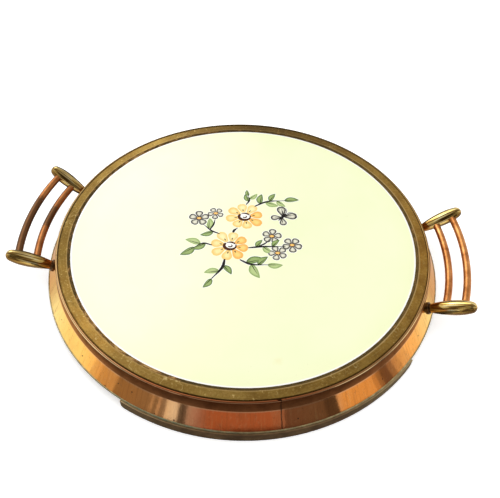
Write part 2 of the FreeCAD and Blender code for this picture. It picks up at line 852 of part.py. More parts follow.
make_panel()
make_felt()
make_board()
make_frame()
make_band()
make_seam_strap()
make_pan()
for foot_name, foot_azimuth in foot_azimuths().items():
    make_foot(foot_name, foot_azimuth)
make_rivets()
make_tie_set()
for post_name, (post_azimuth, ahead) in POSTS.items():
    make_post(post_name, post_azimuth, ahead)
    make_collar(post_name, post_azimuth)
for side_name in ("left", "right"):
    for rod_name in ("inner", "outer"):
        make_rod(side_name, rod_name)
make_post_fasteners()
doc.recompute()

for item in doc.Objects:
    if "Invalid" in item.State or "Error" in item.State:
        raise RuntimeError("%s failed: %s" % (item.Name, item.State))
os.makedirs(PARTS_FOLDER, exist_ok=True)
for item in handed_in:
    if item.Shape.isNull() or not item.Shape.isValid():
        raise RuntimeError("%s has no valid shape" % item.Label)
for item in handed_in:
    item.Shape.exportStep(os.path.join(PARTS_FOLDER, item.Label + ".step"))
    box = item.Shape.BoundBox
    solids = len(item.Shape.Solids)
    print("%-20s solids %d  volume %9.1f  z %.2f to %.2f" % (item.Label, solids, item.Shape.Volume, box.ZMin, box.ZMax))
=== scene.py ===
import math
import random

import bmesh
import bpy
from mathutils import Matrix, Quaternion, Vector, noise


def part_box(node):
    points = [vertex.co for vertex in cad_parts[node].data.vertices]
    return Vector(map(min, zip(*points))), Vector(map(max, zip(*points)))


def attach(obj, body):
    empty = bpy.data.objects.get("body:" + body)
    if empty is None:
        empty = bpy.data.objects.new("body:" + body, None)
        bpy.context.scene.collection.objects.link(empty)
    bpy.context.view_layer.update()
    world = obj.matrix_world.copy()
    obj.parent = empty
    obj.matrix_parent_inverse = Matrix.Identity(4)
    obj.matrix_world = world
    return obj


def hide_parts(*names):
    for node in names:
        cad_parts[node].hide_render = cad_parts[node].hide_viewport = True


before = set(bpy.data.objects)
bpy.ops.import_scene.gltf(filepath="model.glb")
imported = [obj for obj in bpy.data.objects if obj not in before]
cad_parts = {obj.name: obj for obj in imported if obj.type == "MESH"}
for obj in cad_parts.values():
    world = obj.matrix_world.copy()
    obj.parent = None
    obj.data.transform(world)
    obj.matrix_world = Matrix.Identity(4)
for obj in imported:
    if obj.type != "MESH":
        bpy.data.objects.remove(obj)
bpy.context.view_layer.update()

MM = 0.001

# ---------------------------------------------------------------- support board
# A disc of brown pressed board. It carries the decorated panel and is clamped to the
# base pan by four long screws. It lies hidden between the panel and the pan.


def new_finish(name, base, roughness, metallic=0.0):
    """A new material with its shader set to one colour, one roughness and metal or not."""
    material = bpy.data.materials.new(name)
    material.use_nodes = True
    shader = material.node_tree.nodes["Principled BSDF"]
    shader.inputs["Base Color"].default_value = (*base, 1)
    shader.inputs["Roughness"].default_value = roughness
    shader.inputs["Metallic"].default_value = metallic
    return material, material.node_tree, shader


def add(tree, kind, inputs=None, **settings):
    """Add a node, set its options, and fill its inputs with values or with other outputs."""
    item = tree.nodes.new("ShaderNode" + kind)
    for option, value in settings.items():
        setattr(item, option, value)
    for socket, value in (inputs or {}).items():
        if isinstance(value, bpy.types.NodeSocket):
            tree.links.new(value, item.inputs[socket])
        else:
            item.inputs[socket].default_value = value
    return item


def place(tree, stretch=(1, 1, 1)):
    """Where a point lies on the object, in metres, stretched along the three directions."""
    spot = add(tree, "TexCoord").outputs["Object"]
    return add(tree, "VectorMath", {0: spot, 1: stretch}, operation="MULTIPLY").outputs[0]


def grain(tree, scale, detail=3.0, rough=0.55, stretch=(1, 1, 1), at=None):
    """Soft natural unevenness from 0 to 1. Scale is the number of patches in a metre."""
    spot = at or place(tree, stretch)
    pattern = add(tree, "TexNoise", {"Vector": spot, "Scale": scale, "Detail": detail, "Roughness": rough})
    return pattern.outputs["Fac"]


def tones(tree, value, stops):
    """A colour for each value between 0 and 1."""
    ramp = add(tree, "ValToRGB", {"Fac": value})
    bars = ramp.color_ramp.elements
    bars[0].position, bars[1].position = stops[0][0], stops[-1][0]
    bars[0].color, bars[1].color = (*stops[0][1], 1), (*stops[-1][1], 1)
    for position, colour in stops[1:-1]:
        bars.new(position).color = (*colour, 1)
    return ramp.outputs["Color"]


def relief(tree, shader, height, depth):
    """Raise the surface by a pattern, depth in metres."""
    bump = add(tree, "Bump", {"Height": height, "Distance": depth, "Strength": 1.0})
    tree.links.new(bump.outputs["Normal"], shader.inputs["Normal"])


def feed(tree, shader, **sockets):
    """Drive the shader's colour or roughness by a pattern."""
    for name, output in sockets.items():
        tree.links.new(output, shader.inputs[name.replace("_", " ")])


def dress(material, *names):
    """Give CAD nodes their finish."""
    for name in names:
        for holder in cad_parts[name].material_slots:
            holder.material = material


def mottled(name, base, roughness, metallic, pattern, stops, depth):
    """A finish in uneven tones of one colour, raised a little by the same unevenness."""
    material, tree, shader = new_finish(name, base, roughness, metallic)
    pattern = grain(tree, *pattern)
    feed(tree, shader, Base_Color=tones(tree, pattern, stops))
    relief(tree, shader, pattern, depth)
    return material


board_finish = mottled(
    "pressed board", (0.2, 0.12, 0.06), 0.85, 0.0, (900, 4, 0.7),
    [(0.3, (0.11, 0.06, 0.03)), (0.7, (0.3, 0.19, 0.1))], 0.2 * MM,
)
dress(board_finish, "support_board")

# ---------------------------------------------------------------- panel felt
# A disc of dark green felt laid loose between the board and the panel, so that the glazed
# panel doesn't rattle in its frame.

felt_finish = mottled(
    "green felt", (0.1, 0.15, 0.09), 0.95, 0.0, (2600, 4, 0.7),
    [(0.35, (0.06, 0.1, 0.055)), (0.65, (0.15, 0.2, 0.12))], 0.3 * MM,
)
felt_finish.node_tree.nodes["Principled BSDF"].inputs["Sheen Weight"].default_value = 0.4
dress(felt_finish, "panel_felt")

# ---------------------------------------------------------------- decorated panel
# A round panel with a thick cream glaze, smooth and glossy, a little warmer towards its rim.
# It drops into the frame from below. Use has left faint hairlines and one pale stain.


def span(tree, value, low, high, start=0.0, end=1.0):
    """Map low..high of a value to start..end, and hold it at the ends."""
    limits = {"Value": value, "From Min": low, "From Max": high, "To Min": start, "To Max": end}
    return add(tree, "MapRange", limits).outputs["Result"]


def mixed(tree, share, under, over, way="MIX"):
    """Lay one colour over another by a share from 0 to 1."""
    item = add(tree, "Mix", data_type="RGBA", blend_type=way)
    for socket, value in ((0, share), (6, under), (7, over)):
        if isinstance(value, bpy.types.NodeSocket):
            tree.links.new(value, item.inputs[socket])
        elif socket == 0:
            item.inputs[socket].default_value = value
        else:
            item.inputs[socket].default_value = (*value, 1)
    return item.outputs[2]


def sums(tree, way, first, second=0.0):
    """One step of arithmetic on two values."""
    return add(tree, "Math", {0: first, 1: second}, operation=way).outputs[0]


def times(tree, first, second):
    """Two values multiplied."""
    return sums(tree, "MULTIPLY", first, second)


def plus(tree, first, second):
    """Two values added."""
    return sums(tree, "ADD", first, second)


def from_axis(tree):
    """Distance from the tray's axis."""
    return add(tree, "VectorMath", {0: place(tree, (1, 1, 0))}, operation="LENGTH").outputs["Value"]


STAIN_PLACE = (42 * MM, -125 * MM, 34 * MM)
GLAZE_RIM = 151.5 * MM
glaze_finish, tree, shader = new_finish("cream glaze", (0.93, 0.94, 0.6), 0.16)
shader.inputs["Coat Weight"].default_value = 0.8
shader.inputs["Coat Roughness"].default_value = 0.06
clouds = grain(tree, 14, 3)
body_cream = tones(tree, clouds, [(0.35, (0.86, 0.9, 0.565)), (0.65, (0.885, 0.92, 0.6))])
reach = from_axis(tree)
rim_warmth = span(tree, reach, 135 * MM, 153 * MM)
body_cream = mixed(tree, times(tree, rim_warmth, 0.35), body_cream, (0.86, 0.88, 0.5))
stain_reach = add(tree, "VectorMath", {0: place(tree), 1: STAIN_PLACE}, operation="DISTANCE")
stain_reach = plus(tree, stain_reach.outputs["Value"], times(tree, grain(tree, 260), 6 * MM))
stain = span(tree, stain_reach, 3 * MM, 8 * MM, 0.8, 0.0)
body_cream = mixed(tree, stain, body_cream, (0.86, 0.85, 0.5))
specks = span(tree, grain(tree, 420, 1), 0.76, 0.8, 0.0, 0.25)
body_cream = mixed(tree, specks, body_cream, (0.72, 0.68, 0.42))
# The panel is paler in a thin line at its rim.
pale_rim_line = span(tree, reach, GLAZE_RIM - 0.8 * MM, GLAZE_RIM)
body_cream = mixed(tree, pale_rim_line, body_cream, (0.97, 0.97, 0.9))
feed(tree, shader, Base_Color=body_cream)
feed(tree, shader, Roughness=span(tree, grain(tree, 45, 4, 0.6), 0.3, 0.7, 0.12, 0.2))
hairlines = grain(tree, 1400, 2, 0.5, (1, 0.06, 1))
relief(tree, shader, plus(tree, hairlines, grain(tree, 90, 2)), 0.02 * MM)
dress(glaze_finish, "decor_panel")

# ---------------------------------------------------------------- painted sprig
# A spray of two yellow blooms, grey blossoms, leaves and a butterfly, painted by hand in
# enamel. Each brush mark is a thin raised film of paint on the glaze, fired on, with a pale
# edge of white slip left showing round it. Places are millimetres from the spray's middle.

SPRAY_MIDDLE = Vector((-7, -2))
SPRAY_TURN = math.radians(6)
PANEL_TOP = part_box("decor_panel")[1].z
PAINT_BED = 0.02 * MM
SLIP_FILM, LEAF_FILM, LINE_FILM = 0.02 * MM, 0.045 * MM, 0.07 * MM
MARK_STEP = 0.0001 * MM     # each mark lies on the one painted before it
CURVE_STEPS = 7
BRUSH_SPREAD = 2.0      # a loaded brush spreads wider than the drawn line
DISC_CORNERS = 20


def on_panel(point):
    """A drawn place, in millimetres, as a place on the tray, in metres."""
    turned = Matrix.Rotation(SPRAY_TURN, 2) @ Vector(point) + SPRAY_MIDDLE
    return turned * MM


def smooth_way(points, steps=CURVE_STEPS):
    """Points along a soft curve that passes through the given ones."""
    spots = [Vector(p) for p in points]
    if len(spots) < 3:
        return [spots[0].lerp(spots[-1], n / steps) for n in range(steps + 1)]
    ends = [spots[0] * 2 - spots[1]] + spots + [spots[-1] * 2 - spots[-2]]
    way = []
    for n in range(1, len(ends) - 2):
        a, b, c, d = ends[n - 1:n + 3]
        for step in range(steps):
            t = step / steps
            way.append(0.5 * (2 * b + (c - a) * t + (2 * a - 5 * b + 4 * c - d) * t * t
                              + (3 * b - a - 3 * c + d) * t ** 3))
    return way + [spots[-1]]


def brush_line(points, thick, thin=None):
    """The outline of one brush stroke: it swells from a fine start and thins out again."""
    way = smooth_way(points)
    last = len(way) - 1
    thick *= BRUSH_SPREAD
    thin = thick * 0.35 if thin is None else thin * BRUSH_SPREAD
    left, right = [], []
    for n, spot in enumerate(way):
        ahead = (way[min(n + 1, last)] - way[max(n - 1, 0)]).normalized()
        side = Vector((-ahead.y, ahead.x))
        half = 0.5 * (thin + (thick - thin) * math.sin(math.pi * min(0.12 + n / last, 1.0)))
        left.append(spot + side * half)
        right.append(spot - side * half)
    return left + right[::-1], None


def petal(root, tip, width):
    """A petal's outline: narrow at its root, full and slightly notched at its tip."""
    root, tip = Vector(root), Vector(tip)
    ahead = tip - root
    side = Vector((-ahead.y, ahead.x)).normalized() * width / 2
    shape = [(0.0, 0.3), (0.2, 0.55), (0.42, 0.85), (0.62, 1.0), (0.82, 0.88), (0.94, 0.55), (1.0, 0.2)]
    one = [root + ahead * t + side * w for t, w in shape]
    other = [root + ahead * t - side * w for t, w in reversed(shape)]
    notch = root + ahead * 0.965
    outline = smooth_way(one, 2) + [notch] + smooth_way(other, 2)
    return outline, root + ahead * 0.56


def leaf(root, tip, width, bend):
    """A leaf's outline: pointed at its tip and bent to one side."""
    root, tip = Vector(root), Vector(tip)
    ahead = tip - root
    across = Vector((-ahead.y, ahead.x)).normalized()
    outline = []
    for side, steps in ((1, range(0, 13)), (-1, range(11, 0, -1))):
        for step in steps:
            t = step / 12
            half = width / 2 * math.sin(math.pi * t ** 0.8) ** 0.8
            outline.append(root + ahead * t + across * (side * half + bend * math.sin(math.pi * t)))
    return outline, root + ahead * 0.45 + across * bend


def grown(mark, margin):
    """The same mark, larger by a margin all round, for the white slip under it."""
    outline, heart = mark
    count = len(outline)
    larger = []
    for n, spot in enumerate(outline):
        along = outline[(n + 1) % count] - outline[n - 1]
        if along.length < 1e-6:
            larger.append(spot)
            continue
        away = Vector((along.y, -along.x)).normalized() * margin
        larger.append((spot, away))
    area = sum(a.cross(b) for a, b in zip(outline, outline[1:] + outline[:1]))
    sign = 1 if area > 0 else -1
    return [s if isinstance(s, Vector) else s[0] + s[1] * sign for s in larger], heart


def paint_marks(name, marks, film, material):
    """All the marks of one colour as thin closed films. A mark is paler towards its heart."""
    mesh = bpy.data.meshes.new(name)
    bm = bmesh.new()
    tint = bm.verts.layers.float.new("heart")
    for number, (outline, heart) in enumerate(marks):
        top = PANEL_TOP + film + number * MARK_STEP
        tops, bottoms = [], []
        for spot in outline:
            x, y = on_panel(spot)
            tops.append(bm.verts.new((x, y, top)))
            bottoms.append(bm.verts.new((x, y, PANEL_TOP - PAINT_BED)))
        count = len(outline)
        if heart is None:
            bm.faces.new(tops)
        else:
            x, y = on_panel(heart)
            middle = bm.verts.new((x, y, top + film * 0.1))
            middle[tint] = 1.0
            for n in range(count):
                bm.faces.new((tops[n], tops[(n + 1) % count], middle))
        bm.faces.new(bottoms[::-1])
        for n in range(count):
            following = (n + 1) % count
            bm.faces.new((bottoms[n], bottoms[following], tops[following], tops[n]))
    bmesh.ops.recalc_face_normals(bm, faces=bm.faces)
    bm.to_mesh(mesh)
    bm.free()
    piece = bpy.data.objects.new(name, mesh)
    bpy.context.scene.collection.objects.link(piece)
    mesh.materials.append(material)
    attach(piece, "root")


def enamel(name, rim, heart, edge=(0.1, 0.5), gloss=0.3):
    """Fired enamel paint: stronger at a mark's rim, thinner and paler at its heart."""
    material, tree, shader = new_finish(name, rim, 0.3)
    share = add(tree, "Attribute", attribute_name="heart").outputs["Fac"]
    share = plus(tree, share, times(tree, sums(tree, "SUBTRACT", grain(tree, 900, 3), 0.5), 0.5))
    feed(tree, shader, Base_Color=mixed(tree, span(tree, share, *edge), rim, heart))
    shader.inputs["Specular IOR Level"].default_value = gloss
    return material


yellow_paint = enamel("yellow petal enamel", (0.88, 0.54, 0.14), (0.92, 0.77, 0.34), (0.12, 0.7))
orange_paint = enamel("orange petal enamel", (0.86, 0.4, 0.07), (0.92, 0.64, 0.18), (0.12, 0.7))
pale_paint = enamel("pale yellow enamel", (0.88, 0.6, 0.2), (0.92, 0.82, 0.42), (0.12, 0.7))
leaf_paint = enamel("leaf green enamel", (0.09, 0.16, 0.035), (0.29, 0.4, 0.12))
light_leaf_paint = enamel("light green enamel", (0.25, 0.36, 0.11), (0.46, 0.57, 0.23))
grey_paint = enamel("grey blossom enamel", (0.03, 0.026, 0.022), (0.74, 0.72, 0.58), (0.2, 0.6), 0.1)
line_paint = enamel("dark line enamel", (0.012, 0.009, 0.008), (0.03, 0.02, 0.016), gloss=0.1)
brown_paint = enamel("brown ring enamel", (0.07, 0.018, 0.005), (0.1, 0.03, 0.01), gloss=0.1)
slip_paint = enamel("white slip", (0.95, 0.95, 0.88), (0.96, 0.96, 0.9))


def ring_of(middle, reach, squeeze, start, end, thick):
    """A curved stroke round a bloom's eye."""
    spots = []
    for step in range(9):
        angle = math.radians(start + (end - start) * step / 8)
        spots.append(middle + Vector((math.cos(angle) * reach, math.sin(angle) * reach * squeeze)))
    return brush_line(spots, thick, thick * 0.4)


def disc(middle, reach, squeeze):
    """A round or oval mark."""
    outline = []
    for step in range(DISC_CORNERS):
        angle = 2 * math.pi * step / DISC_CORNERS
        outline.append(middle + Vector((math.cos(angle) * reach, math.sin(angle) * reach * squeeze)))
    return outline, Vector(middle)


yellow_petals, orange_petals, pale_petals, grey_petals = [], [], [], []
leaves, light_leaves, line_marks, brown_marks, eye_marks, pollen_marks = [], [], [], [], [], []
brush_dice = random.Random(3)
BLOOM_PETALS, BLOSSOM_PETALS = 8, 5
EYE_SQUEEZE = 0.84
LEAF_LEAN = math.radians(48)


def bloom(middle, reach, turn):
    """An open flower: even petals round a pale eye, paler where they face the light."""
    middle = Vector(middle)
    for number in range(BLOOM_PETALS):
        way = Matrix.Rotation(math.radians(turn + 360 / BLOOM_PETALS * number), 2) @ Vector((1, 0))
        kind = pale_petals if way.y > 0.6 else orange_petals if way.x > 0.3 else yellow_petals
        tip = middle + way * reach * brush_dice.uniform(0.9, 1.08)
        kind.append(petal(middle + way * reach * 0.3, tip, reach * 0.52))
        brown_marks.append(brush_line([middle + way * reach * 0.42, middle + way * reach * 0.56], 0.5))
    eye_marks.append(disc(middle, reach * 0.27, EYE_SQUEEZE))
    brown_marks.append(ring_of(middle, reach * 0.3, EYE_SQUEEZE, 140, 380, 1.5))
    brown_marks.append(ring_of(middle, reach * 0.1, EYE_SQUEEZE, 200, 420, 0.7))
    brown_marks.append(ring_of(middle, reach * 0.28, EYE_SQUEEZE, 30, 130, 0.9))


def blossom(middle, reach, turn):
    """A small grey flower of even petals with an orange heart."""
    middle = Vector(middle)
    for number in range(BLOSSOM_PETALS):
        way = Matrix.Rotation(math.radians(turn + 360 / BLOSSOM_PETALS * number), 2) @ Vector((1, 0))
        grey_petals.append(petal(middle + way * 1.4, middle + way * reach, reach * 0.76))
    pollen_marks.append(disc(middle, 2.0, 0.7))


def twig(points, count=0, size=0.0, thick=0.8, tipped=True):
    """A stem with leaves set on it by turns, dark ones on its left and light ones on its right."""
    line_marks.append(brush_line(points, thick))
    way = smooth_way(points)
    last = len(way) - 1
    gaps = count if tipped else count + 1
    for number in range(1, count + 1):
        place_on = round(last * number / gaps)
        ahead = (way[place_on] - way[place_on - 1]).normalized()
        side = 1 if number % 2 else -1
        lean = 0.0 if number == gaps else side * LEAF_LEAN
        length = size * brush_dice.uniform(0.85, 1.15)
        tip = way[place_on] + Matrix.Rotation(lean, 2) @ ahead * length
        kind = leaves if side > 0 else light_leaves
        kind.append(leaf(way[place_on], tip, length * 0.46, side * length * 0.08))
        line_marks.append(brush_line([way[place_on], way[place_on].lerp(tip, 0.7)], 0.35))


bloom((7, 25), 17.5, 12)
bloom((-5, -12), 17.5, 34)
blossom((32, 1), 9.0, 10)
blossom((37, -19), 8.5, 40)
blossom((50, -9), 9.0, -15)
blossom((-35, 21), 9.5, 20)
blossom((-20, 28), 7.5, 50)
twig([(-9, -28), (-11, -38), (-19, -50)], 3, 12, 1.3)
twig([(-3, 4), (-2, 7), (1, 10)], thick=1.2)
twig([(8, 41), (11, 47), (10, 53)], 3, 10)
twig([(16, 39), (28, 46), (44, 48)], 5, 13, 1.0)
twig([(-21, -12), (-29, -10), (-36, -15)], 3, 14)
twig([(-15, 2), (-23, 6), (-31, 14)], 2, 12, tipped=False)
twig([(-24, 7), (-21, 14), (-20, 22)])
twig([(11, -14), (24, -12), (44, -11)], 3, 11, 1.0, tipped=False)
twig([(20, -12), (26, -8), (30, -3)])
twig([(4, -28), (14, -33), (28, -33)], 4, 15, 1.0)

BUTTERFLY_PLACE, BUTTERFLY_LEAN = Vector((42, 26)), math.radians(-38)


def on_butterfly(aside, ahead):
    """A place on the butterfly, measured from the middle of its body."""
    return BUTTERFLY_PLACE + Matrix.Rotation(BUTTERFLY_LEAN, 2) @ Vector((aside, ahead))


line_marks.append(brush_line([on_butterfly(0, 5), on_butterfly(0, -6)], 1.5))
for side in (1, -1):
    grey_petals.append(petal(on_butterfly(side, 1.5), on_butterfly(side * 9.5, 10), 8.6))
    grey_petals.append(petal(on_butterfly(side, -1.5), on_butterfly(side * 7.5, -8), 6.6))
    feeler = [on_butterfly(side * 0.4, 5), on_butterfly(side * 1.6, 9), on_butterfly(side * 4, 11)]
    line_marks.append(brush_line(feeler, 0.35))
    line_marks.append(brush_line([on_butterfly(side * 1.5, 3), on_butterfly(side * 7, 8)], 0.5))
    line_marks.append(brush_line([on_butterfly(side * 1.5, -3), on_butterfly(side * 5.5, -6.5)], 0.4))

under_slip = [grown(mark, 0.55) for mark in line_marks + brown_marks + grey_petals + leaves]
paint_marks("sprig_white_slip", under_slip, SLIP_FILM, slip_paint)
paint_marks("sprig_light_leaves", light_leaves, LEAF_FILM, light_leaf_paint)
paint_marks("sprig_leaves", leaves, LEAF_FILM * 1.1, leaf_paint)
paint_marks("sprig_pale_petals", pale_petals, LEAF_FILM, pale_paint)
paint_marks("sprig_yellow_petals", yellow_petals, LEAF_FILM * 1.1, yellow_paint)
paint_marks("sprig_orange_petals", orange_petals, LEAF_FILM * 1.2, orange_paint)
paint_marks("sprig_grey_petals", grey_petals, LEAF_FILM, grey_paint)
paint_marks("sprig_bloom_eyes", eye_marks, LEAF_FILM * 1.3, slip_paint)
paint_marks("sprig_pollen", pollen_marks, LINE_FILM, orange_paint)
paint_marks("sprig_dark_lines", line_marks, LINE_FILM, line_paint)
paint_marks("sprig_brown_rings", brown_marks, LINE_FILM * 1.1, brown_paint)

# ---------------------------------------------------------------- frame ring
# One ring of sheet brass, spun to shape. Its flat top holds the panel's edge down, its thin
# bevelled lip lies on the glaze, and tabs on its side wall are folded in under the board.
# The brass has gone dull olive brown. Handling has scratched it and left small bright dings.

SIGHT_RADIUS, RING_EDGE = 152.4 * MM, 163.2 * MM
LIP_END = SIGHT_RADIUS + 2.5 * MM


def axis(tree, name):
    """One coordinate of the point, in metres."""
    return add(tree, "SeparateXYZ", {0: place(tree)}).outputs[name]


def share_round(tree):
    """How far round the tray a point is: 0 and 1 at the left handle, a quarter at the front."""
    return span(tree, sums(tree, "ARCTAN2", axis(tree, "Y"), axis(tree, "X")), -math.pi, math.pi)


def zones(tree, where, stops):
    """A strength for each part of the way round, or of the way along."""
    return tones(tree, where, [(stop, (strength,) * 3) for stop, strength in stops])


def apart(tree, value, middle):
    """How far a value is from another one, either way."""
    return sums(tree, "ABSOLUTE", sums(tree, "SUBTRACT", value, middle))


def joined(tree, first, second, way="ADD"):
    """Two directions or places added, or joined in another way."""
    return add(tree, "VectorMath", {0: first, 1: second}, operation=way).outputs[0]


def way_round(tree, stretch):
    """The way round the tray, so that a pattern along it meets itself without a seam."""
    way = add(tree, "VectorMath", {0: place(tree, (1, 1, 0))}, operation="NORMALIZE").outputs[0]
    return joined(tree, way, (stretch, stretch, 0), "MULTIPLY")


def upright(tree, length):
    """A direction straight up, of a given length."""
    return add(tree, "CombineXYZ", {"Z": length}).outputs[0]


def turned_marks(tree, across, along):
    """Fine marks that run round the tray, as a lathe or a polishing cloth leaves them."""
    depth = plus(tree, from_axis(tree), axis(tree, "Z"))
    spot = joined(tree, way_round(tree, along), upright(tree, times(tree, depth, across)))
    return grain(tree, 1.0, 3, 0.6, at=spot)


frame_finish, tree, shader = new_finish("dull olive brass", (0.25, 0.17, 0.05), 0.42, 1.0)
dull_brass = tones(tree, grain(tree, 60, 4, 0.6), [
    (0.3, (0.3, 0.18, 0.042)), (0.45, (0.39, 0.25, 0.062)),
    (0.58, (0.47, 0.32, 0.085)), (0.75, (0.57, 0.38, 0.115)),
])
turn_share = share_round(tree)
# The brass is darkest at the back, brown gold at the right and bright at the left front, all
# painted reflection.
ring_reflection_round = tones(tree, turn_share, [
    (0.0, (0.33, 0.29, 0.22)), (0.05, (0.36, 0.32, 0.25)), (0.1, (0.6, 0.53, 0.46)),
    (0.125, (0.98, 0.86, 0.75)), (0.15, (0.9, 0.78, 0.7)), (0.17, (0.62, 0.55, 0.52)),
    (0.25, (0.56, 0.51, 0.46)), (0.38, (0.7, 0.6, 0.48)), (0.5, (1.0, 0.76, 0.5)),
    (0.6, (0.98, 0.88, 0.72)), (0.67, (0.55, 0.46, 0.36)), (0.75, (0.17, 0.13, 0.09)),
    (0.81, (0.45, 0.38, 0.3)), (0.87, (0.92, 0.88, 0.8)), (0.95, (0.5, 0.45, 0.36)),
    (1.0, (0.33, 0.29, 0.22)),
])
dull_brass = mixed(tree, 1.0, dull_brass, ring_reflection_round, "MULTIPLY")
mottle = grain(tree, 520, 4, 0.75)
dull_brass = mixed(tree, span(tree, mottle, 0.46, 0.34, 0.0, 0.55), dull_brass, (0.12, 0.07, 0.015))
dull_brass = mixed(tree, span(tree, mottle, 0.56, 0.68, 0.0, 0.5), dull_brass, (0.62, 0.46, 0.16))
fine = grain(tree, 1500, 4, 0.7)
dull_brass = mixed(tree, span(tree, fine, 0.35, 0.7, 0.0, 0.5), dull_brass, (0.17, 0.11, 0.03))
rubbed = span(tree, turned_marks(tree, 2600, 5), 0.62, 0.72, 0.0, 0.55)
dull_brass = mixed(tree, rubbed, dull_brass, (0.5, 0.36, 0.13))
scribble = span(tree, apart(tree, grain(tree, 130, 1, 0.5), 0.5), 0.0, 0.011, 0.6, 0.0)
scribble = times(tree, scribble, span(tree, grain(tree, 34, 2), 0.54, 0.62))
dull_brass = mixed(tree, scribble, dull_brass, (0.75, 0.58, 0.26))
dings = span(tree, grain(tree, 260, 2, 0.8), 0.68, 0.72, 0.0, 0.6)
dull_brass = mixed(tree, dings, dull_brass, (0.62, 0.44, 0.17))
reach = from_axis(tree)
# The bevelled lip's dark tone is painted reflection, lighter in places round the ring, with copper spots in
# it.
in_lip = span(tree, reach, LIP_END + 0.1 * MM, LIP_END - 0.2 * MM)
lip_reflection_round = zones(tree, turn_share, [
    (0.0, 0.06), (0.09, 0.05), (0.12, 0.17), (0.2, 0.17), (0.23, 0.0), (0.7, 0.0), (0.82, 0.08), (0.9, 0.12),
    (1.0, 0.06),
])
lip_spot = joined(tree, way_round(tree, 24), upright(tree, times(tree, reach, 700)))
lip_tone = tones(tree, plus(tree, grain(tree, 1.0, 4, 0.7, at=lip_spot), lip_reflection_round), [
    (0.3, (0.04, 0.026, 0.009)), (0.6, (0.1, 0.066, 0.025)),
    (0.68, (0.34, 0.16, 0.055)), (0.74, (0.5, 0.33, 0.12)),
])
dull_brass = mixed(tree, times(tree, in_lip, 0.95), dull_brass, lip_tone)
# A thin painted highlight runs along the top edge of the lip's bevel, strongest at the right.
lip_edge = span(tree, apart(tree, reach, LIP_END + 0.5 * MM), 0.2 * MM, 0.6 * MM, 0.6, 0.0)
lip_shine = zones(tree, turn_share, [
    (0.0, 0.25), (0.25, 0.3), (0.36, 1.0), (0.6, 1.0), (0.7, 0.3), (1.0, 0.25),
])
dull_brass = mixed(tree, times(tree, lip_edge, lip_shine), dull_brass, (0.62, 0.44, 0.2))
# The ring's outer edge is darkened where it meets the copper roll: painted shade.
outer_edge_shade = span(tree, reach, RING_EDGE - 1.4 * MM, RING_EDGE, 0.0, 0.65)
dull_brass = mixed(tree, outer_edge_shade, dull_brass, (0.1, 0.06, 0.012))
feed(tree, shader, Base_Color=dull_brass)
feed(tree, shader, Roughness=span(tree, grain(tree, 120, 4, 0.7), 0.3, 0.7, 0.34, 0.55))
relief(tree, shader, plus(tree, times(tree, fine, 0.5), grain(tree, 160, 3)), 0.08 * MM)
dress(frame_finish, "frame_ring")

# ---------------------------------------------------------------- copper band
# One strip of sheet copper bent to a ring. Its upper edge is rolled over the edge of the brass
# ring, below it runs a cove neck to a sharp crease, and the skirt flares out to the base.
# The two ends meet in a ragged butt seam at the front, where the roll has lost a chip.

ROLL_MIDDLE, ROLL_SIZE, LEDGE = 164.0 * MM, 1.1 * MM, 34.0 * MM
NECK_TOP = Vector((164.55 * MM, 32.9 * MM))
CREASE = Vector((166.6 * MM, 24.7 * MM))
SKIRT_FOOT = Vector((174.945 * MM, 10.7 * MM))
COPPER_GAUGE, SKIRT_WALL = 0.9 * MM, 1.048 * MM
NECK_BOW = 14 * MM
SEAM_ANGLE = math.radians(-73.3)
SEAM_GAP = 0.2 * MM
BAND_SEGMENTS = 720
SHARP_ANGLE = math.radians(32)


def bowed(start, end, bow, steps):
    """Points on an arc between two profile points that sags towards the tray's axis."""
    chord = end - start
    middle = (start + end) / 2
    rise = math.sqrt(bow ** 2 - (chord.length / 2) ** 2)
    outward = Vector((-chord.y, chord.x)).normalized()
    centre = middle + outward * rise
    first = math.atan2(start.y - centre.y, start.x - centre.x)
    last = math.atan2(end.y - centre.y, end.x - centre.x)
    sweep = (last - first + math.pi) % (2 * math.pi) - math.pi
    angles = [first + sweep * n / steps for n in range(steps + 1)]
    return [centre + Vector((math.cos(a), math.sin(a))) * bow for a in angles]


def smooth_mesh(name, bm):
    """Turn a bmesh into a smooth-shaded object with its real edges kept sharp."""
    bmesh.ops.recalc_face_normals(bm, faces=bm.faces)
    for edge in bm.edges:
        if len(edge.link_faces) == 2 and edge.calc_face_angle() > SHARP_ANGLE:
            edge.smooth = False
    for face in bm.faces:
        face.smooth = True
    mesh = bpy.data.meshes.new(name)
    bm.to_mesh(mesh)
    bm.free()
    piece = bpy.data.objects.new(name, mesh)
    bpy.context.scene.collection.objects.link(piece)
    return piece


roll = []
for step in range(17):
    angle = math.radians(180 - 210 * step / 16)
    roll.append(Vector((ROLL_MIDDLE + ROLL_SIZE * math.cos(angle), LEDGE + ROLL_SIZE * math.sin(angle))))
neck = bowed(NECK_TOP, CREASE, NECK_BOW, 12)
skirt = [CREASE.lerp(SKIRT_FOOT, n / 14) for n in range(1, 15)]
inside = [
    SKIRT_FOOT - Vector((SKIRT_WALL, 0)), CREASE - Vector((SKIRT_WALL, 0)),
    NECK_TOP - Vector((COPPER_GAUGE, 0)), Vector((NECK_TOP.x - COPPER_GAUGE, LEDGE)),
]
band_profile = roll + neck + skirt + inside
skirt_start, skirt_end = len(roll) + len(neck), len(roll) + len(neck) + len(skirt)

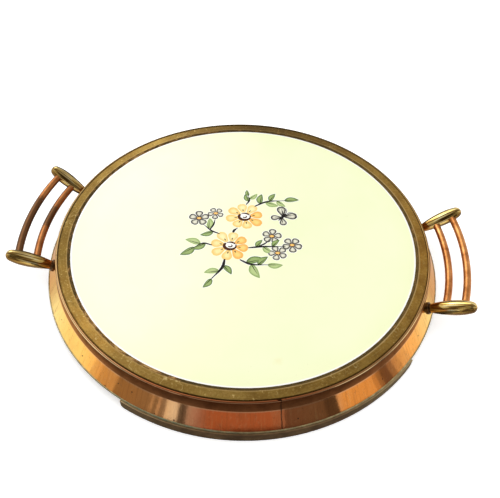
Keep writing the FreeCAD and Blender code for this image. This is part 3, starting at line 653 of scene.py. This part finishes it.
dice = random.Random(7)
bm = bmesh.new()
rows = []
for number, corner in enumerate(band_profile):
    ragged = dice.uniform(0.0, 0.3) * MM if number < skirt_end else 0.0
    chip = 3.0 * MM if 5 <= number <= 9 else 0.0
    slant = 0.45 * MM * math.sin(number * 0.7) if number >= len(roll) else 0.0
    start = SEAM_ANGLE + (SEAM_GAP / 2 + slant) / corner.x
    end = SEAM_ANGLE + 2 * math.pi - (SEAM_GAP / 2 + ragged + chip - slant) / corner.x
    row = []
    for step in range(BAND_SEGMENTS + 1):
        angle = start + (end - start) * step / BAND_SEGMENTS
        reach = corner.x
        if skirt_start <= number < skirt_end:
            share = (number - skirt_start + 1) / len(skirt)
            dent = noise.noise(Vector((math.cos(angle) * 2.6, math.sin(angle) * 2.6, share)))
            reach += 0.16 * MM * dent * math.sin(math.pi * share)
        row.append(bm.verts.new((reach * math.cos(angle), reach * math.sin(angle), corner.y)))
    rows.append(row)
for upper, lower in zip(rows, rows[1:] + rows[:1]):
    for step in range(BAND_SEGMENTS):
        bm.faces.new((upper[step], upper[step + 1], lower[step + 1], lower[step]))
bm.faces.new([row[0] for row in rows])
bm.faces.new([row[-1] for row in rows][::-1])
band = smooth_mesh("copper_band_strip", bm)

copper_finish, tree, shader = new_finish("tarnished copper", (0.8, 0.4, 0.16), 0.16, 1.0)
shader.inputs["Specular Tint"].default_value = (1.0, 0.78, 0.58, 1)
turn_share, height = share_round(tree), axis(tree, "Z")
# Copper goes from golden at the left handle through red at the front to orange at the right,
# partly tarnish and partly painted reflection.
copper_tone = tones(tree, turn_share, [
    (0.0, (0.48, 0.26, 0.12)), (0.035, (0.6, 0.33, 0.16)), (0.06, (0.74, 0.45, 0.18)),
    (0.085, (0.91, 0.75, 0.33)), (0.111, (0.9, 0.6, 0.19)), (0.136, (0.86, 0.55, 0.15)),
    (0.16, (0.84, 0.34, 0.07)), (0.19, (0.8, 0.33, 0.09)), (0.21, (0.72, 0.33, 0.11)),
    (0.222, (0.84, 0.52, 0.26)), (0.228, (0.76, 0.4, 0.19)), (0.238, (0.74, 0.28, 0.13)),
    (0.247, (0.79, 0.17, 0.043)), (0.289, (0.77, 0.17, 0.045)), (0.3, (0.68, 0.23, 0.085)),
    (0.337, (0.74, 0.32, 0.11)), (0.344, (0.83, 0.3, 0.055)), (0.372, (0.82, 0.29, 0.055)),
    (0.383, (0.68, 0.25, 0.08)), (0.4, (0.8, 0.34, 0.085)), (0.422, (0.82, 0.41, 0.115)),
    (0.453, (0.88, 0.7, 0.29)), (0.475, (0.74, 0.4, 0.16)), (0.52, (0.56, 0.27, 0.11)),
    (0.72, (0.76, 0.32, 0.1)), (0.86, (0.76, 0.38, 0.14)), (1.0, (0.5, 0.3, 0.16)),
])
smoke = grain(tree, 42, 4, 0.6, (1, 1, 0.6))
copper_tone = mixed(tree, span(tree, smoke, 0.5, 0.72, 0.0, 0.22), copper_tone, (0.36, 0.12, 0.04))
wiped = grain(tree, 520, 3, 0.6, (1, 1, 0.05))
copper_tone = mixed(tree, span(tree, wiped, 0.55, 0.75, 0.0, 0.16), copper_tone, (0.95, 0.62, 0.32))
brushed = grain(tree, 1.0, 4, 0.65, at=joined(tree, way_round(tree, 95), place(tree, (6, 6, 22))))
copper_tone = mixed(tree, span(tree, brushed, 0.46, 0.3, 0.0, 0.26), copper_tone, (0.3, 0.1, 0.03))
copper_tone = mixed(tree, span(tree, brushed, 0.58, 0.72, 0.0, 0.22), copper_tone, (0.96, 0.6, 0.26))
# The cove neck is dark with tarnish and with painted shade, and the crease below it carries a
# painted highlight.
in_neck = times(
    tree, span(tree, height, CREASE.y, CREASE.y + 0.5 * MM),
    span(tree, height, NECK_TOP.y + 0.7 * MM, NECK_TOP.y + 0.1 * MM),
)
neck_tone = tones(tree, grain(tree, 75, 4, 0.6), [(0.35, (0.2, 0.078, 0.03)), (0.65, (0.36, 0.148, 0.055))])
copper_tone = mixed(tree, times(tree, in_neck, 0.94), copper_tone, neck_tone)
in_roll = span(tree, height, NECK_TOP.y, NECK_TOP.y + 0.4 * MM)
# The roll's tone round the tray is partly tarnish and partly painted reflection.
roll_tone = tones(tree, turn_share, [
    (0.0, (0.3, 0.2, 0.08)), (0.05, (0.34, 0.22, 0.1)), (0.17, (0.4, 0.2, 0.09)), (0.2, (0.36, 0.12, 0.045)),
    (0.3, (0.36, 0.11, 0.04)), (0.36, (0.36, 0.18, 0.07)), (0.46, (0.36, 0.2, 0.08)),
    (0.52, (0.22, 0.13, 0.045)), (0.75, (0.14, 0.085, 0.02)), (0.92, (0.2, 0.12, 0.04)),
    (1.0, (0.3, 0.2, 0.08)),
])
# A thin painted highlight runs along the roll's outer side, strongest at the left and right front.
roll_highlight_round = zones(tree, turn_share, [
    (0.0, 0.2), (0.04, 0.9), (0.15, 0.9), (0.2, 0.25), (0.32, 0.2), (0.36, 0.8), (0.46, 0.9), (0.5, 0.1),
    (0.95, 0.0), (1.0, 0.2),
])
roll_highlight_line = span(tree, apart(tree, height, LEDGE + 0.6 * MM), 0.12 * MM, 0.35 * MM, 1.0, 0.0)
outer_side = span(tree, from_axis(tree), ROLL_MIDDLE + 0.1 * MM, ROLL_MIDDLE + 0.3 * MM)
roll_highlight_line = times(tree, roll_highlight_line, outer_side)
roll_tone = mixed(tree, times(tree, roll_highlight_line, roll_highlight_round), roll_tone, (1.0, 0.8, 0.46))
copper_tone = mixed(tree, in_roll, copper_tone, roll_tone)
gold_line = times(
    tree, span(tree, height, NECK_TOP.y - 0.3 * MM, NECK_TOP.y),
    span(tree, height, NECK_TOP.y + 0.6 * MM, NECK_TOP.y + 0.3 * MM),
)
copper_tone = mixed(tree, times(tree, gold_line, 0.7), copper_tone, (0.3, 0.2, 0.07))
# A painted highlight along the crease.
crease_highlight = span(tree, apart(tree, height, CREASE.y - 0.1 * MM), 0.2 * MM, 0.6 * MM, 0.55, 0.0)
copper_tone = mixed(tree, crease_highlight, copper_tone, (0.75, 0.42, 0.22))
# The seam has taken solder and dirt, and pits and scratches are dark with old polish.
seam_way = apart(tree, turn_share, (SEAM_ANGLE + math.pi) / (2 * math.pi))
seam_way = plus(tree, seam_way, times(tree, grain(tree, 300, 3), 0.0009))
seam_dirt = span(tree, seam_way, 0.0007, 0.0012, 0.7, 0.0)
copper_tone = mixed(tree, seam_dirt, copper_tone, (0.14, 0.06, 0.03))
pits = add(tree, "TexVoronoi", {"Vector": place(tree), "Scale": 95.0}).outputs["Distance"]
pits = span(tree, plus(tree, pits, times(tree, grain(tree, 500), 0.05)), 0.07, 0.1, 0.85, 0.0)
copper_tone = mixed(tree, pits, copper_tone, (0.12, 0.05, 0.03))
scratches = grain(tree, 300, 2, 0.4, (1, 0.12, 0.4))
scratches = span(tree, apart(tree, scratches, 0.5), 0.0, 0.008, 0.45, 0.0)
copper_tone = mixed(tree, scratches, copper_tone, (0.3, 0.12, 0.05))
feed(tree, shader, Base_Color=copper_tone)
rough_skirt = span(tree, grain(tree, 70, 4, 0.6), 0.3, 0.7, 0.06, 0.13)
feed(tree, shader, Roughness=sums(tree, "MAXIMUM", rough_skirt, times(tree, in_neck, 0.5)))
relief(tree, shader, plus(tree, times(tree, pits, -1.0), times(tree, wiped, 0.25)), 0.06 * MM)
band.data.materials.append(copper_finish)
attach(band, "root")
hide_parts("copper_band")

# ---------------------------------------------------------------- seam strap
# A short strip of copper soldered behind the butt seam, inside the skirt. Heat and flux have
# left it brown and grey.

strap_finish = mottled(
    "heat-browned copper", (0.3, 0.13, 0.07), 0.5, 1.0, (220, 4, 0.65),
    [(0.35, (0.07, 0.035, 0.02)), (0.55, (0.24, 0.1, 0.05)), (0.72, (0.34, 0.32, 0.3))], 0.1 * MM,
)
dress(strap_finish, "seam_strap")

# ---------------------------------------------------------------- base pan
# The bottom sheet of the tray, brass, with its edge folded up into a narrow round hem that
# holds the copper skirt. Verdigris has grown along the hem, and the underside has dark stains.

HEM_START = 173.2 * MM
pan_finish, tree, shader = new_finish("stained brass sheet", (0.35, 0.25, 0.09), 0.4, 1.0)
pan_tone = tones(tree, grain(tree, 26, 5, 0.6), [
    (0.3, (0.16, 0.1, 0.035)), (0.48, (0.3, 0.2, 0.07)), (0.62, (0.42, 0.3, 0.11)), (0.75, (0.5, 0.37, 0.15)),
])
lathe_rings = span(tree, turned_marks(tree, 1000, 3), 0.5, 0.68, 0.0, 0.5)
pan_tone = mixed(tree, lathe_rings, pan_tone, (0.62, 0.46, 0.2))
drips = span(tree, grain(tree, 150, 4, 0.7), 0.56, 0.68, 0.0, 0.7)
pan_tone = mixed(tree, drips, pan_tone, (0.12, 0.07, 0.03))
scuffs = apart(tree, grain(tree, 55, 2, 0.5), 0.5)
pan_tone = mixed(tree, span(tree, scuffs, 0.0, 0.006, 0.6, 0.0), pan_tone, (0.75, 0.58, 0.3))
in_hem = span(tree, from_axis(tree), HEM_START - 0.4 * MM, HEM_START + 0.4 * MM)
hem_tone = tones(tree, grain(tree, 190, 4, 0.7), [(0.35, (0.3, 0.22, 0.1)), (0.65, (0.6, 0.48, 0.24))])
pan_tone = mixed(tree, in_hem, pan_tone, hem_tone)
green_zone = zones(tree, share_round(tree), [
    (0.0, 0.1), (0.16, 0.15), (0.195, 0.9), (0.245, 0.75), (0.27, 0.2), (0.5, 0.15), (0.72, 0.6), (0.8, 0.2),
    (1.0, 0.1),
])
crust = times(tree, green_zone, span(tree, grain(tree, 130, 4, 0.7), 0.34, 0.58))
crust = times(tree, crust, in_hem)
pan_tone = mixed(tree, times(tree, crust, 0.75), pan_tone, (0.36, 0.5, 0.38))
feed(tree, shader, Base_Color=pan_tone)
pan_rough = span(tree, grain(tree, 90, 4), 0.3, 0.7, 0.3, 0.5)
feed(tree, shader, Roughness=plus(tree, pan_rough, times(tree, crust, 0.35)))
relief(tree, shader, plus(tree, turned_marks(tree, 1500, 3), grain(tree, 500, 3)), 0.04 * MM)
dress(pan_finish, "base_pan")

# ---------------------------------------------------------------- feet and their rivets
# Two curved angle strips of dark bronzed brass, front and back. Each is riveted to the pan by
# three round-head rivets, and the tray stands on their lower edges. The strips are darker
# towards the bottom, and their ends carry a painted highlight.

foot_finish, tree, shader = new_finish("bronzed brass", (0.1, 0.065, 0.035), 0.5, 1.0)
skin = grain(tree, 110, 4, 0.6)
foot_tone = tones(tree, skin, [
    (0.32, (0.26, 0.16, 0.085)), (0.52, (0.38, 0.245, 0.13)), (0.7, (0.5, 0.34, 0.19)),
])
# The ends of the feet are lighter: painted highlight.
foot_end_highlight = zones(tree, share_round(tree), [
    (0.0, 0.2), (0.15, 0.6), (0.17, 0.6), (0.2, 0.2), (0.24, 0.0), (0.34, 0.05), (0.375, 0.5), (0.43, 0.8),
    (0.6, 0.2), (0.75, 0.0), (1.0, 0.2),
])
foot_tone = mixed(tree, times(tree, foot_end_highlight, 0.8), foot_tone, (0.8, 0.66, 0.36))
# Darker towards the bottom.
bottom_darkening = span(tree, axis(tree, "Z"), 1.6 * MM, 0.0, 0.0, 0.75)
foot_tone = mixed(tree, bottom_darkening, foot_tone, (0.012, 0.009, 0.006))
feed(tree, shader, Base_Color=foot_tone, Roughness=span(tree, skin, 0.3, 0.7, 0.4, 0.6))
relief(tree, shader, grain(tree, 600, 4, 0.7), 0.08 * MM)
dress(foot_finish, "front_foot", "back_foot")

fastener_brass = mottled(
    "turned fastener brass", (0.45, 0.32, 0.12), 0.35, 1.0, (400, 4, 0.65),
    [(0.35, (0.2, 0.13, 0.045)), (0.65, (0.55, 0.4, 0.16))], 0.06 * MM,
)
dress(fastener_brass, "front_foot_rivets", "back_foot_rivets")

# ---------------------------------------------------------------- tie screws, tubes and nuts
# Four long round-head screws go up through the pan, a spacing tube and the board, and each
# ends in a hexagon nut sunk in the board. Brass screws, plated steel nuts.

steel_finish = mottled(
    "plated steel", (0.42, 0.41, 0.39), 0.38, 1.0, (500, 4, 0.6),
    [(0.35, (0.22, 0.2, 0.18)), (0.65, (0.5, 0.49, 0.47))], 0.05 * MM,
)
dress(fastener_brass, "tie_screws", "spacing_tubes")
dress(steel_finish, "tie_nuts")

# ---------------------------------------------------------------- handle posts
# Four turned posts of solid brass, slim where they leave the tray, full in the middle and
# round at the end. They are polished, with brown tarnish near the root where a cloth doesn't
# reach. Light and dark streaks along them are painted reflections, and their undersides
# carry painted shade.

post_finish, tree, shader = new_finish("polished brass", (0.85, 0.62, 0.27), 0.13, 1.0)
POST_ROOT = Vector((170.18 * MM, 18.69 * MM))
POST_RISE, POST_SPREAD = math.radians(30.8), math.radians(16.05)


def turned(tree, right, up, angle):
    """Two lengths measured along axes turned by an angle."""
    c, n = math.cos(angle), math.sin(angle)
    ahead = plus(tree, times(tree, right, c), times(tree, up, n))
    aside = sums(tree, "SUBTRACT", times(tree, up, c), times(tree, right, n))
    return ahead, aside


# All four posts are alike, so each point is measured along, across and above its own post.
out_x, out_y = (sums(tree, "ABSOLUTE", axis(tree, name)) for name in ("X", "Y"))
outward, across = turned(tree, out_x, out_y, POST_SPREAD)
across = times(tree, across, sums(tree, "SIGN", axis(tree, "Y")))
outward = sums(tree, "SUBTRACT", outward, POST_ROOT.x)
raised = sums(tree, "SUBTRACT", axis(tree, "Z"), POST_ROOT.y)
along_post, above_post = turned(tree, outward, raised, POST_RISE)
round_post = add(tree, "CombineXYZ", {"X": across, "Y": above_post}).outputs[0]
round_post = add(tree, "VectorMath", {0: round_post}, operation="NORMALIZE").outputs[0]
top_side = add(tree, "SeparateXYZ", {0: round_post}).outputs["Y"]
streak_way = joined(tree, round_post, (4.4, 4.4, 0), "MULTIPLY")
streak_way = joined(tree, streak_way, upright(tree, times(tree, along_post, 36)))
streaks = grain(tree, 1.0, 4, 0.62, at=streak_way)
# The streaks are painted reflections of a room's bright and dark parts, up to a pale painted highlight.
brass_tone = tones(tree, streaks, [
    (0.42, (0.09, 0.04, 0.009)), (0.465, (0.46, 0.26, 0.06)),
    (0.52, (0.86, 0.61, 0.17)), (0.59, (1.0, 0.9, 0.55)),
])
top_side = plus(tree, top_side, times(tree, streaks, 1.1))
# The underside of each post is darkened: painted shade.
underside_shade = span(tree, top_side, 0.85, 0.4, 0.0, 0.94)
brass_tone = mixed(tree, underside_shade, brass_tone, (0.11, 0.052, 0.014))
# The left handle's posts are darker than the right one's.
left_dull = span(tree, axis(tree, "X"), 10 * MM, -10 * MM, 0.0, 0.38)
brass_tone = mixed(tree, left_dull, brass_tone, (0.25, 0.14, 0.035))
near_root = span(tree, along_post, 12 * MM, 4 * MM)
brass_tone = mixed(tree, times(tree, near_root, 0.7), brass_tone, (0.42, 0.17, 0.04))
feed(tree, shader, Base_Color=brass_tone, Roughness=span(tree, streaks, 0.35, 0.6, 0.17, 0.07))
relief(tree, shader, plus(tree, streaks, grain(tree, 700, 3, 0.6)), 0.04 * MM)
posts = [side + "_" + end + "_post" for side in ("left", "right") for end in ("front", "back")]
dress(post_finish, *posts)

# ---------------------------------------------------------------- collars
# A small flanged brass collar stands between each post and the skirt. It has never been
# polished and is almost black.

collar_finish = mottled(
    "blackened brass", (0.1, 0.06, 0.03), 0.38, 1.0, (350, 4, 0.7),
    [(0.35, (0.04, 0.022, 0.01)), (0.7, (0.26, 0.14, 0.06))], 0.1 * MM,
)
dress(collar_finish, *[name.replace("_post", "_collar") for name in posts])

# ---------------------------------------------------------------- handle rods
# Two copper rods in each handle, bent to arcs about the tray's middle and pushed into blind
# holes in the posts. Hands keep parts of them bright, and the rest has turned brown.

rod_finish, tree, shader = new_finish("handled copper rod", (0.75, 0.36, 0.14), 0.2, 1.0)
worn = grain(tree, 95, 4, 0.6)
rod_tone = tones(tree, worn, [(0.3, (0.36, 0.12, 0.03)), (0.5, (0.6, 0.25, 0.08)), (0.7, (0.78, 0.37, 0.13))])
reach = from_axis(tree)
# The rods of the left handle are darkened: painted shade.
on_left = span(tree, axis(tree, "X"), 10 * MM, -10 * MM)
rod_tone = mixed(tree, times(tree, on_left, 0.75), rod_tone, (0.27, 0.095, 0.03))
outer_one = span(tree, reach, 188 * MM, 190.5 * MM)
ragged = times(tree, sums(tree, "SUBTRACT", grain(tree, 240, 3), 0.5), 10 * MM)
along = plus(tree, axis(tree, "Y"), ragged)
outer_brown = times(tree, span(tree, along, 19.5 * MM, 16.5 * MM), span(tree, along, -60 * MM, -50 * MM))
inner_brown = times(tree, span(tree, along, 19 * MM, 13 * MM), span(tree, along, -12 * MM, -8 * MM))
outer_brown = times(tree, outer_brown, outer_one)
inner_brown = times(tree, inner_brown, sums(tree, "SUBTRACT", 1.0, outer_one))
brown = times(tree, plus(tree, outer_brown, inner_brown), on_left)
rod_tone = mixed(tree, times(tree, brown, 0.85), rod_tone, (0.1, 0.05, 0.023))
feed(tree, shader, Base_Color=rod_tone, Roughness=span(tree, worn, 0.3, 0.7, 0.42, 0.27))
relief(tree, shader, grain(tree, 900, 3, 0.6), 0.05 * MM)
rods = [side + "_" + layer + "_rod" for side in ("left", "right") for layer in ("inner", "outer")]
dress(rod_finish, *rods)

# ---------------------------------------------------------------- post screws and washers
# A slotted round-head screw and a washer hold each post from inside the skirt. Plated steel.

dress(steel_finish, "post_screws", "post_washers")

# ---------------------------------------------------------------- floor, camera and light
# The tray stands on a plain pale floor. The camera looks down on it from the front. Soft
# light comes from all round and above, and cards that only show in the metal stand in for
# the dark and bright parts of a room.

scene = bpy.context.scene
scene.view_settings.view_transform = "Standard"
floor_finish, tree, shader = new_finish("pale floor", (0.93, 0.93, 0.925), 0.9)
shader.inputs["Emission Color"].default_value = (1, 1, 1, 1)
shader.inputs["Emission Strength"].default_value = 0.42
shader.inputs["Specular IOR Level"].default_value = 0.1
# From below the floor is clear, so that the underside of the tray can be looked at.
under = add(tree, "NewGeometry").outputs["Backfacing"]
clear = add(tree, "BsdfTransparent").outputs[0]
solid = add(tree, "MixShader", {0: under, 1: shader.outputs[0], 2: clear}).outputs[0]
tree.links.new(solid, tree.nodes["Material Output"].inputs["Surface"])
bm = bmesh.new()
bmesh.ops.create_circle(bm, cap_ends=True, segments=96, radius=12.0)
bmesh.ops.translate(bm, verts=bm.verts, vec=(0, 0, -0.2 * MM))
floor_mesh = bpy.data.meshes.new("floor")
bm.to_mesh(floor_mesh)
bm.free()
floor = bpy.data.objects.new("floor", floor_mesh)
floor_mesh.materials.append(floor_finish)
scene.collection.objects.link(floor)
floor.visible_glossy = False

CAMERA_PLACE = Vector((0.0391, -0.3573, 0.4145))
CAMERA_AIM = Vector((0.00726, -0.01677, 0.035))
CAMERA_ROLL = math.radians(2.29)
camera = bpy.data.objects.new("camera", bpy.data.cameras.new("camera"))
camera.rotation_mode = "QUATERNION"
camera.location = CAMERA_PLACE
facing = (CAMERA_AIM - CAMERA_PLACE).to_track_quat("-Z", "Y")
camera.rotation_quaternion = facing @ Quaternion((0, 0, 1), CAMERA_ROLL)
camera.data.lens = 41.9
camera.data.sensor_width = 36
scene.collection.objects.link(camera)
scene.camera = camera

world = bpy.data.worlds.new("studio")
scene.world = world
world.use_nodes = True
tree = world.node_tree
way = add(tree, "TexCoord").outputs["Generated"]
up = add(tree, "SeparateXYZ", {0: way}).outputs["Z"]
sky = tones(tree, span(tree, up, 0.0, 1.0), [
    (0.0, (0.95, 0.95, 0.95)), (0.5, (0.8, 0.8, 0.8)), (0.75, (0.6, 0.6, 0.6)), (1.0, (0.45, 0.45, 0.45)),
])
WINDOW_AZIMUTH = math.radians(125)
window_way = Vector((math.cos(WINDOW_AZIMUTH) * 0.75, math.sin(WINDOW_AZIMUTH) * 0.75, 0.66))
towards = add(tree, "VectorMath", {0: way, 1: window_way}, operation="DOT_PRODUCT").outputs["Value"]
window = span(tree, towards, 0.9, 0.99, 0.0, 1.0)
sky = mixed(tree, window, sky, (1.9, 1.88, 1.82))
tree.links.new(sky, tree.nodes["Background"].inputs["Color"])

LAMP_PLACE = Vector((0.1, 0.1, 1.6))
lamp = bpy.data.objects.new("overhead_fill", bpy.data.lights.new("overhead_fill", "AREA"))
lamp.data.size = 1.8
lamp.data.energy = 14
lamp.location = LAMP_PLACE
lamp.rotation_euler = (-LAMP_PLACE).to_track_quat("-Z", "Y").to_euler()
lamp.visible_glossy = False
scene.collection.objects.link(lamp)


def room_piece(name, bm, tone=None):
    """Part of the room that only polished metal sees. It gives no light and no shadow."""
    finish = bpy.data.materials.new(name)
    finish.use_nodes = True
    glow = add(finish.node_tree, "Emission")
    if tone:
        glow.inputs["Color"].default_value = (*tone, 1)
    finish.node_tree.links.new(glow.outputs[0], finish.node_tree.nodes["Material Output"].inputs["Surface"])
    mesh = bpy.data.meshes.new(name)
    bm.to_mesh(mesh)
    bm.free()
    mesh.materials.append(finish)
    piece = bpy.data.objects.new(name, mesh)
    scene.collection.objects.link(piece)
    for ray in ("camera", "diffuse", "transmission", "volume_scatter", "shadow"):
        setattr(piece, "visible_" + ray, False)
    return finish.node_tree, glow


ROOM_REACH = 2.6
bm = bmesh.new()
bmesh.ops.create_uvsphere(bm, u_segments=64, v_segments=32, radius=ROOM_REACH)
tree, glow = room_piece("reflected_room", bm)
way = add(tree, "VectorMath", {0: place(tree)}, operation="NORMALIZE").outputs[0]
up = add(tree, "SeparateXYZ", {0: way}).outputs["Z"]
room = tones(tree, span(tree, up, 0.0, 1.0), [
    (0.0, (0.1, 0.09, 0.08)), (0.18, (0.12, 0.11, 0.1)), (0.36, (0.5, 0.49, 0.48)), (0.5, (0.8, 0.8, 0.8)),
    (0.8, (0.62, 0.62, 0.62)), (1.0, (0.45, 0.45, 0.45)),
])
for azimuth, lift, narrow, wide, tone in (
    (128, 0.66, 0.98, 0.89, (2.9, 2.88, 2.8)),      # a window behind on the left
    (-83, 0.7, 0.95, 0.8, (0.16, 0.15, 0.14)),      # the dark side where the camera stands
):
    flat = math.sqrt(1 - lift * lift)
    toward = (math.cos(math.radians(azimuth)) * flat, math.sin(math.radians(azimuth)) * flat, lift)
    nearness = add(tree, "VectorMath", {0: way, 1: toward}, operation="DOT_PRODUCT").outputs["Value"]
    room = mixed(tree, span(tree, nearness, wide, narrow), room, tone)
tree.links.new(room, glow.inputs["Color"])

bm = bmesh.new()
bmesh.ops.create_circle(bm, cap_ends=True, segments=64, radius=ROOM_REACH)
bmesh.ops.translate(bm, verts=bm.verts, vec=(0, 0, 0.5 * MM))
tree, glow = room_piece("reflected_ground", bm)
# Under the tray the reflected ground is dark: a painted shadow.
from_under = span(tree, from_axis(tree), 155 * MM, 165 * MM)
ground_tone = mixed(tree, from_under, (0.75, 0.74, 0.72), (0.13, 0.115, 0.1))
tree.links.new(ground_tone, glow.inputs["Color"])

SKIRT_MIDDLE = (CREASE + SKIRT_FOOT) / 2
SKIRT_FACING = math.atan2(SKIRT_FOOT.x - CREASE.x, CREASE.y - SKIRT_FOOT.y)


def mirrored(angle):
    """Where the skirt, at an angle round the tray, throws a look from the camera."""
    around = Vector((math.cos(angle), math.sin(angle), 0))
    spot = around * SKIRT_MIDDLE.x + Vector((0, 0, SKIRT_MIDDLE.y))
    square = around * math.cos(SKIRT_FACING) + Vector((0, 0, math.sin(SKIRT_FACING)))
    return spot, (spot - CAMERA_PLACE).normalized().reflect(square)


# Bright and dark parts of the room: the angle on the skirt, in degrees, where a part ends, and
# its tone. Each part starts where the one before it ends.
FIRST_CARD = -175
CARDS = [
    (-153, (0.9, 0.86, 0.8)), (-150, (1.0, 0.96, 0.88)), (-147, (1.12, 1.07, 0.97)),
    (-125.5, (1.25, 1.2, 1.08)), (-122.5, (0.95, 0.91, 0.85)), (-117, (0.72, 0.7, 0.66)),
    (-106.5, (0.36, 0.34, 0.32)), (-105.7, (0.62, 0.6, 0.6)), (-104.6, (0.3, 0.28, 0.26)),
    (-103.8, (0.66, 0.62, 0.62)), (-102.3, (0.33, 0.3, 0.28)), (-99, (0.9, 0.88, 0.85)),
    (-96.8, (0.14, 0.13, 0.12)), (-94, (0.52, 0.5, 0.5)), (-72.5, (0.45, 0.44, 0.44)),
    (-62, (0.2, 0.19, 0.18)), (-58.3, (0.12, 0.11, 0.1)), (-46.8, (0.88, 0.84, 0.8)),
    (-45.4, (0.66, 0.62, 0.6)), (-44, (0.42, 0.4, 0.38)), (-41, (0.24, 0.22, 0.21)),
    (-39, (0.45, 0.43, 0.41)), (-36.5, (0.78, 0.75, 0.7)), (-33, (1.0, 0.96, 0.9)),
    (-14, (1.2, 1.12, 1.0)), (25, (0.9, 0.86, 0.8)),
]
CARD_LENGTH, CARD_HEIGHT, CARD_STEP = 1.1, 0.5, 0.5
GROUND = 1.0 * MM
first = FIRST_CARD
for number, (last, tone) in enumerate(CARDS):
    bm = bmesh.new()
    lines = []
    steps = max(1, round((last - first) / CARD_STEP))
    for step in range(steps + 1):
        spot, look = mirrored(math.radians(first + (last - first) * step / steps))
        hit = spot + look * ((GROUND - spot.z) / look.z)
        near = spot.lerp(hit, 0.5)
        near.z = GROUND
        far = hit + Vector((look.x, look.y, 0)).normalized() * CARD_LENGTH
        far.z = GROUND
        lines.append([bm.verts.new(v) for v in (near, far, far + Vector((0, 0, CARD_HEIGHT)))])
    for one, other in zip(lines, lines[1:]):
        for n in range(2):
            bm.faces.new((one[n], one[n + 1], other[n + 1], other[n]))
    room_piece("reflected_card_%d" % number, bm, tone)
    first = last
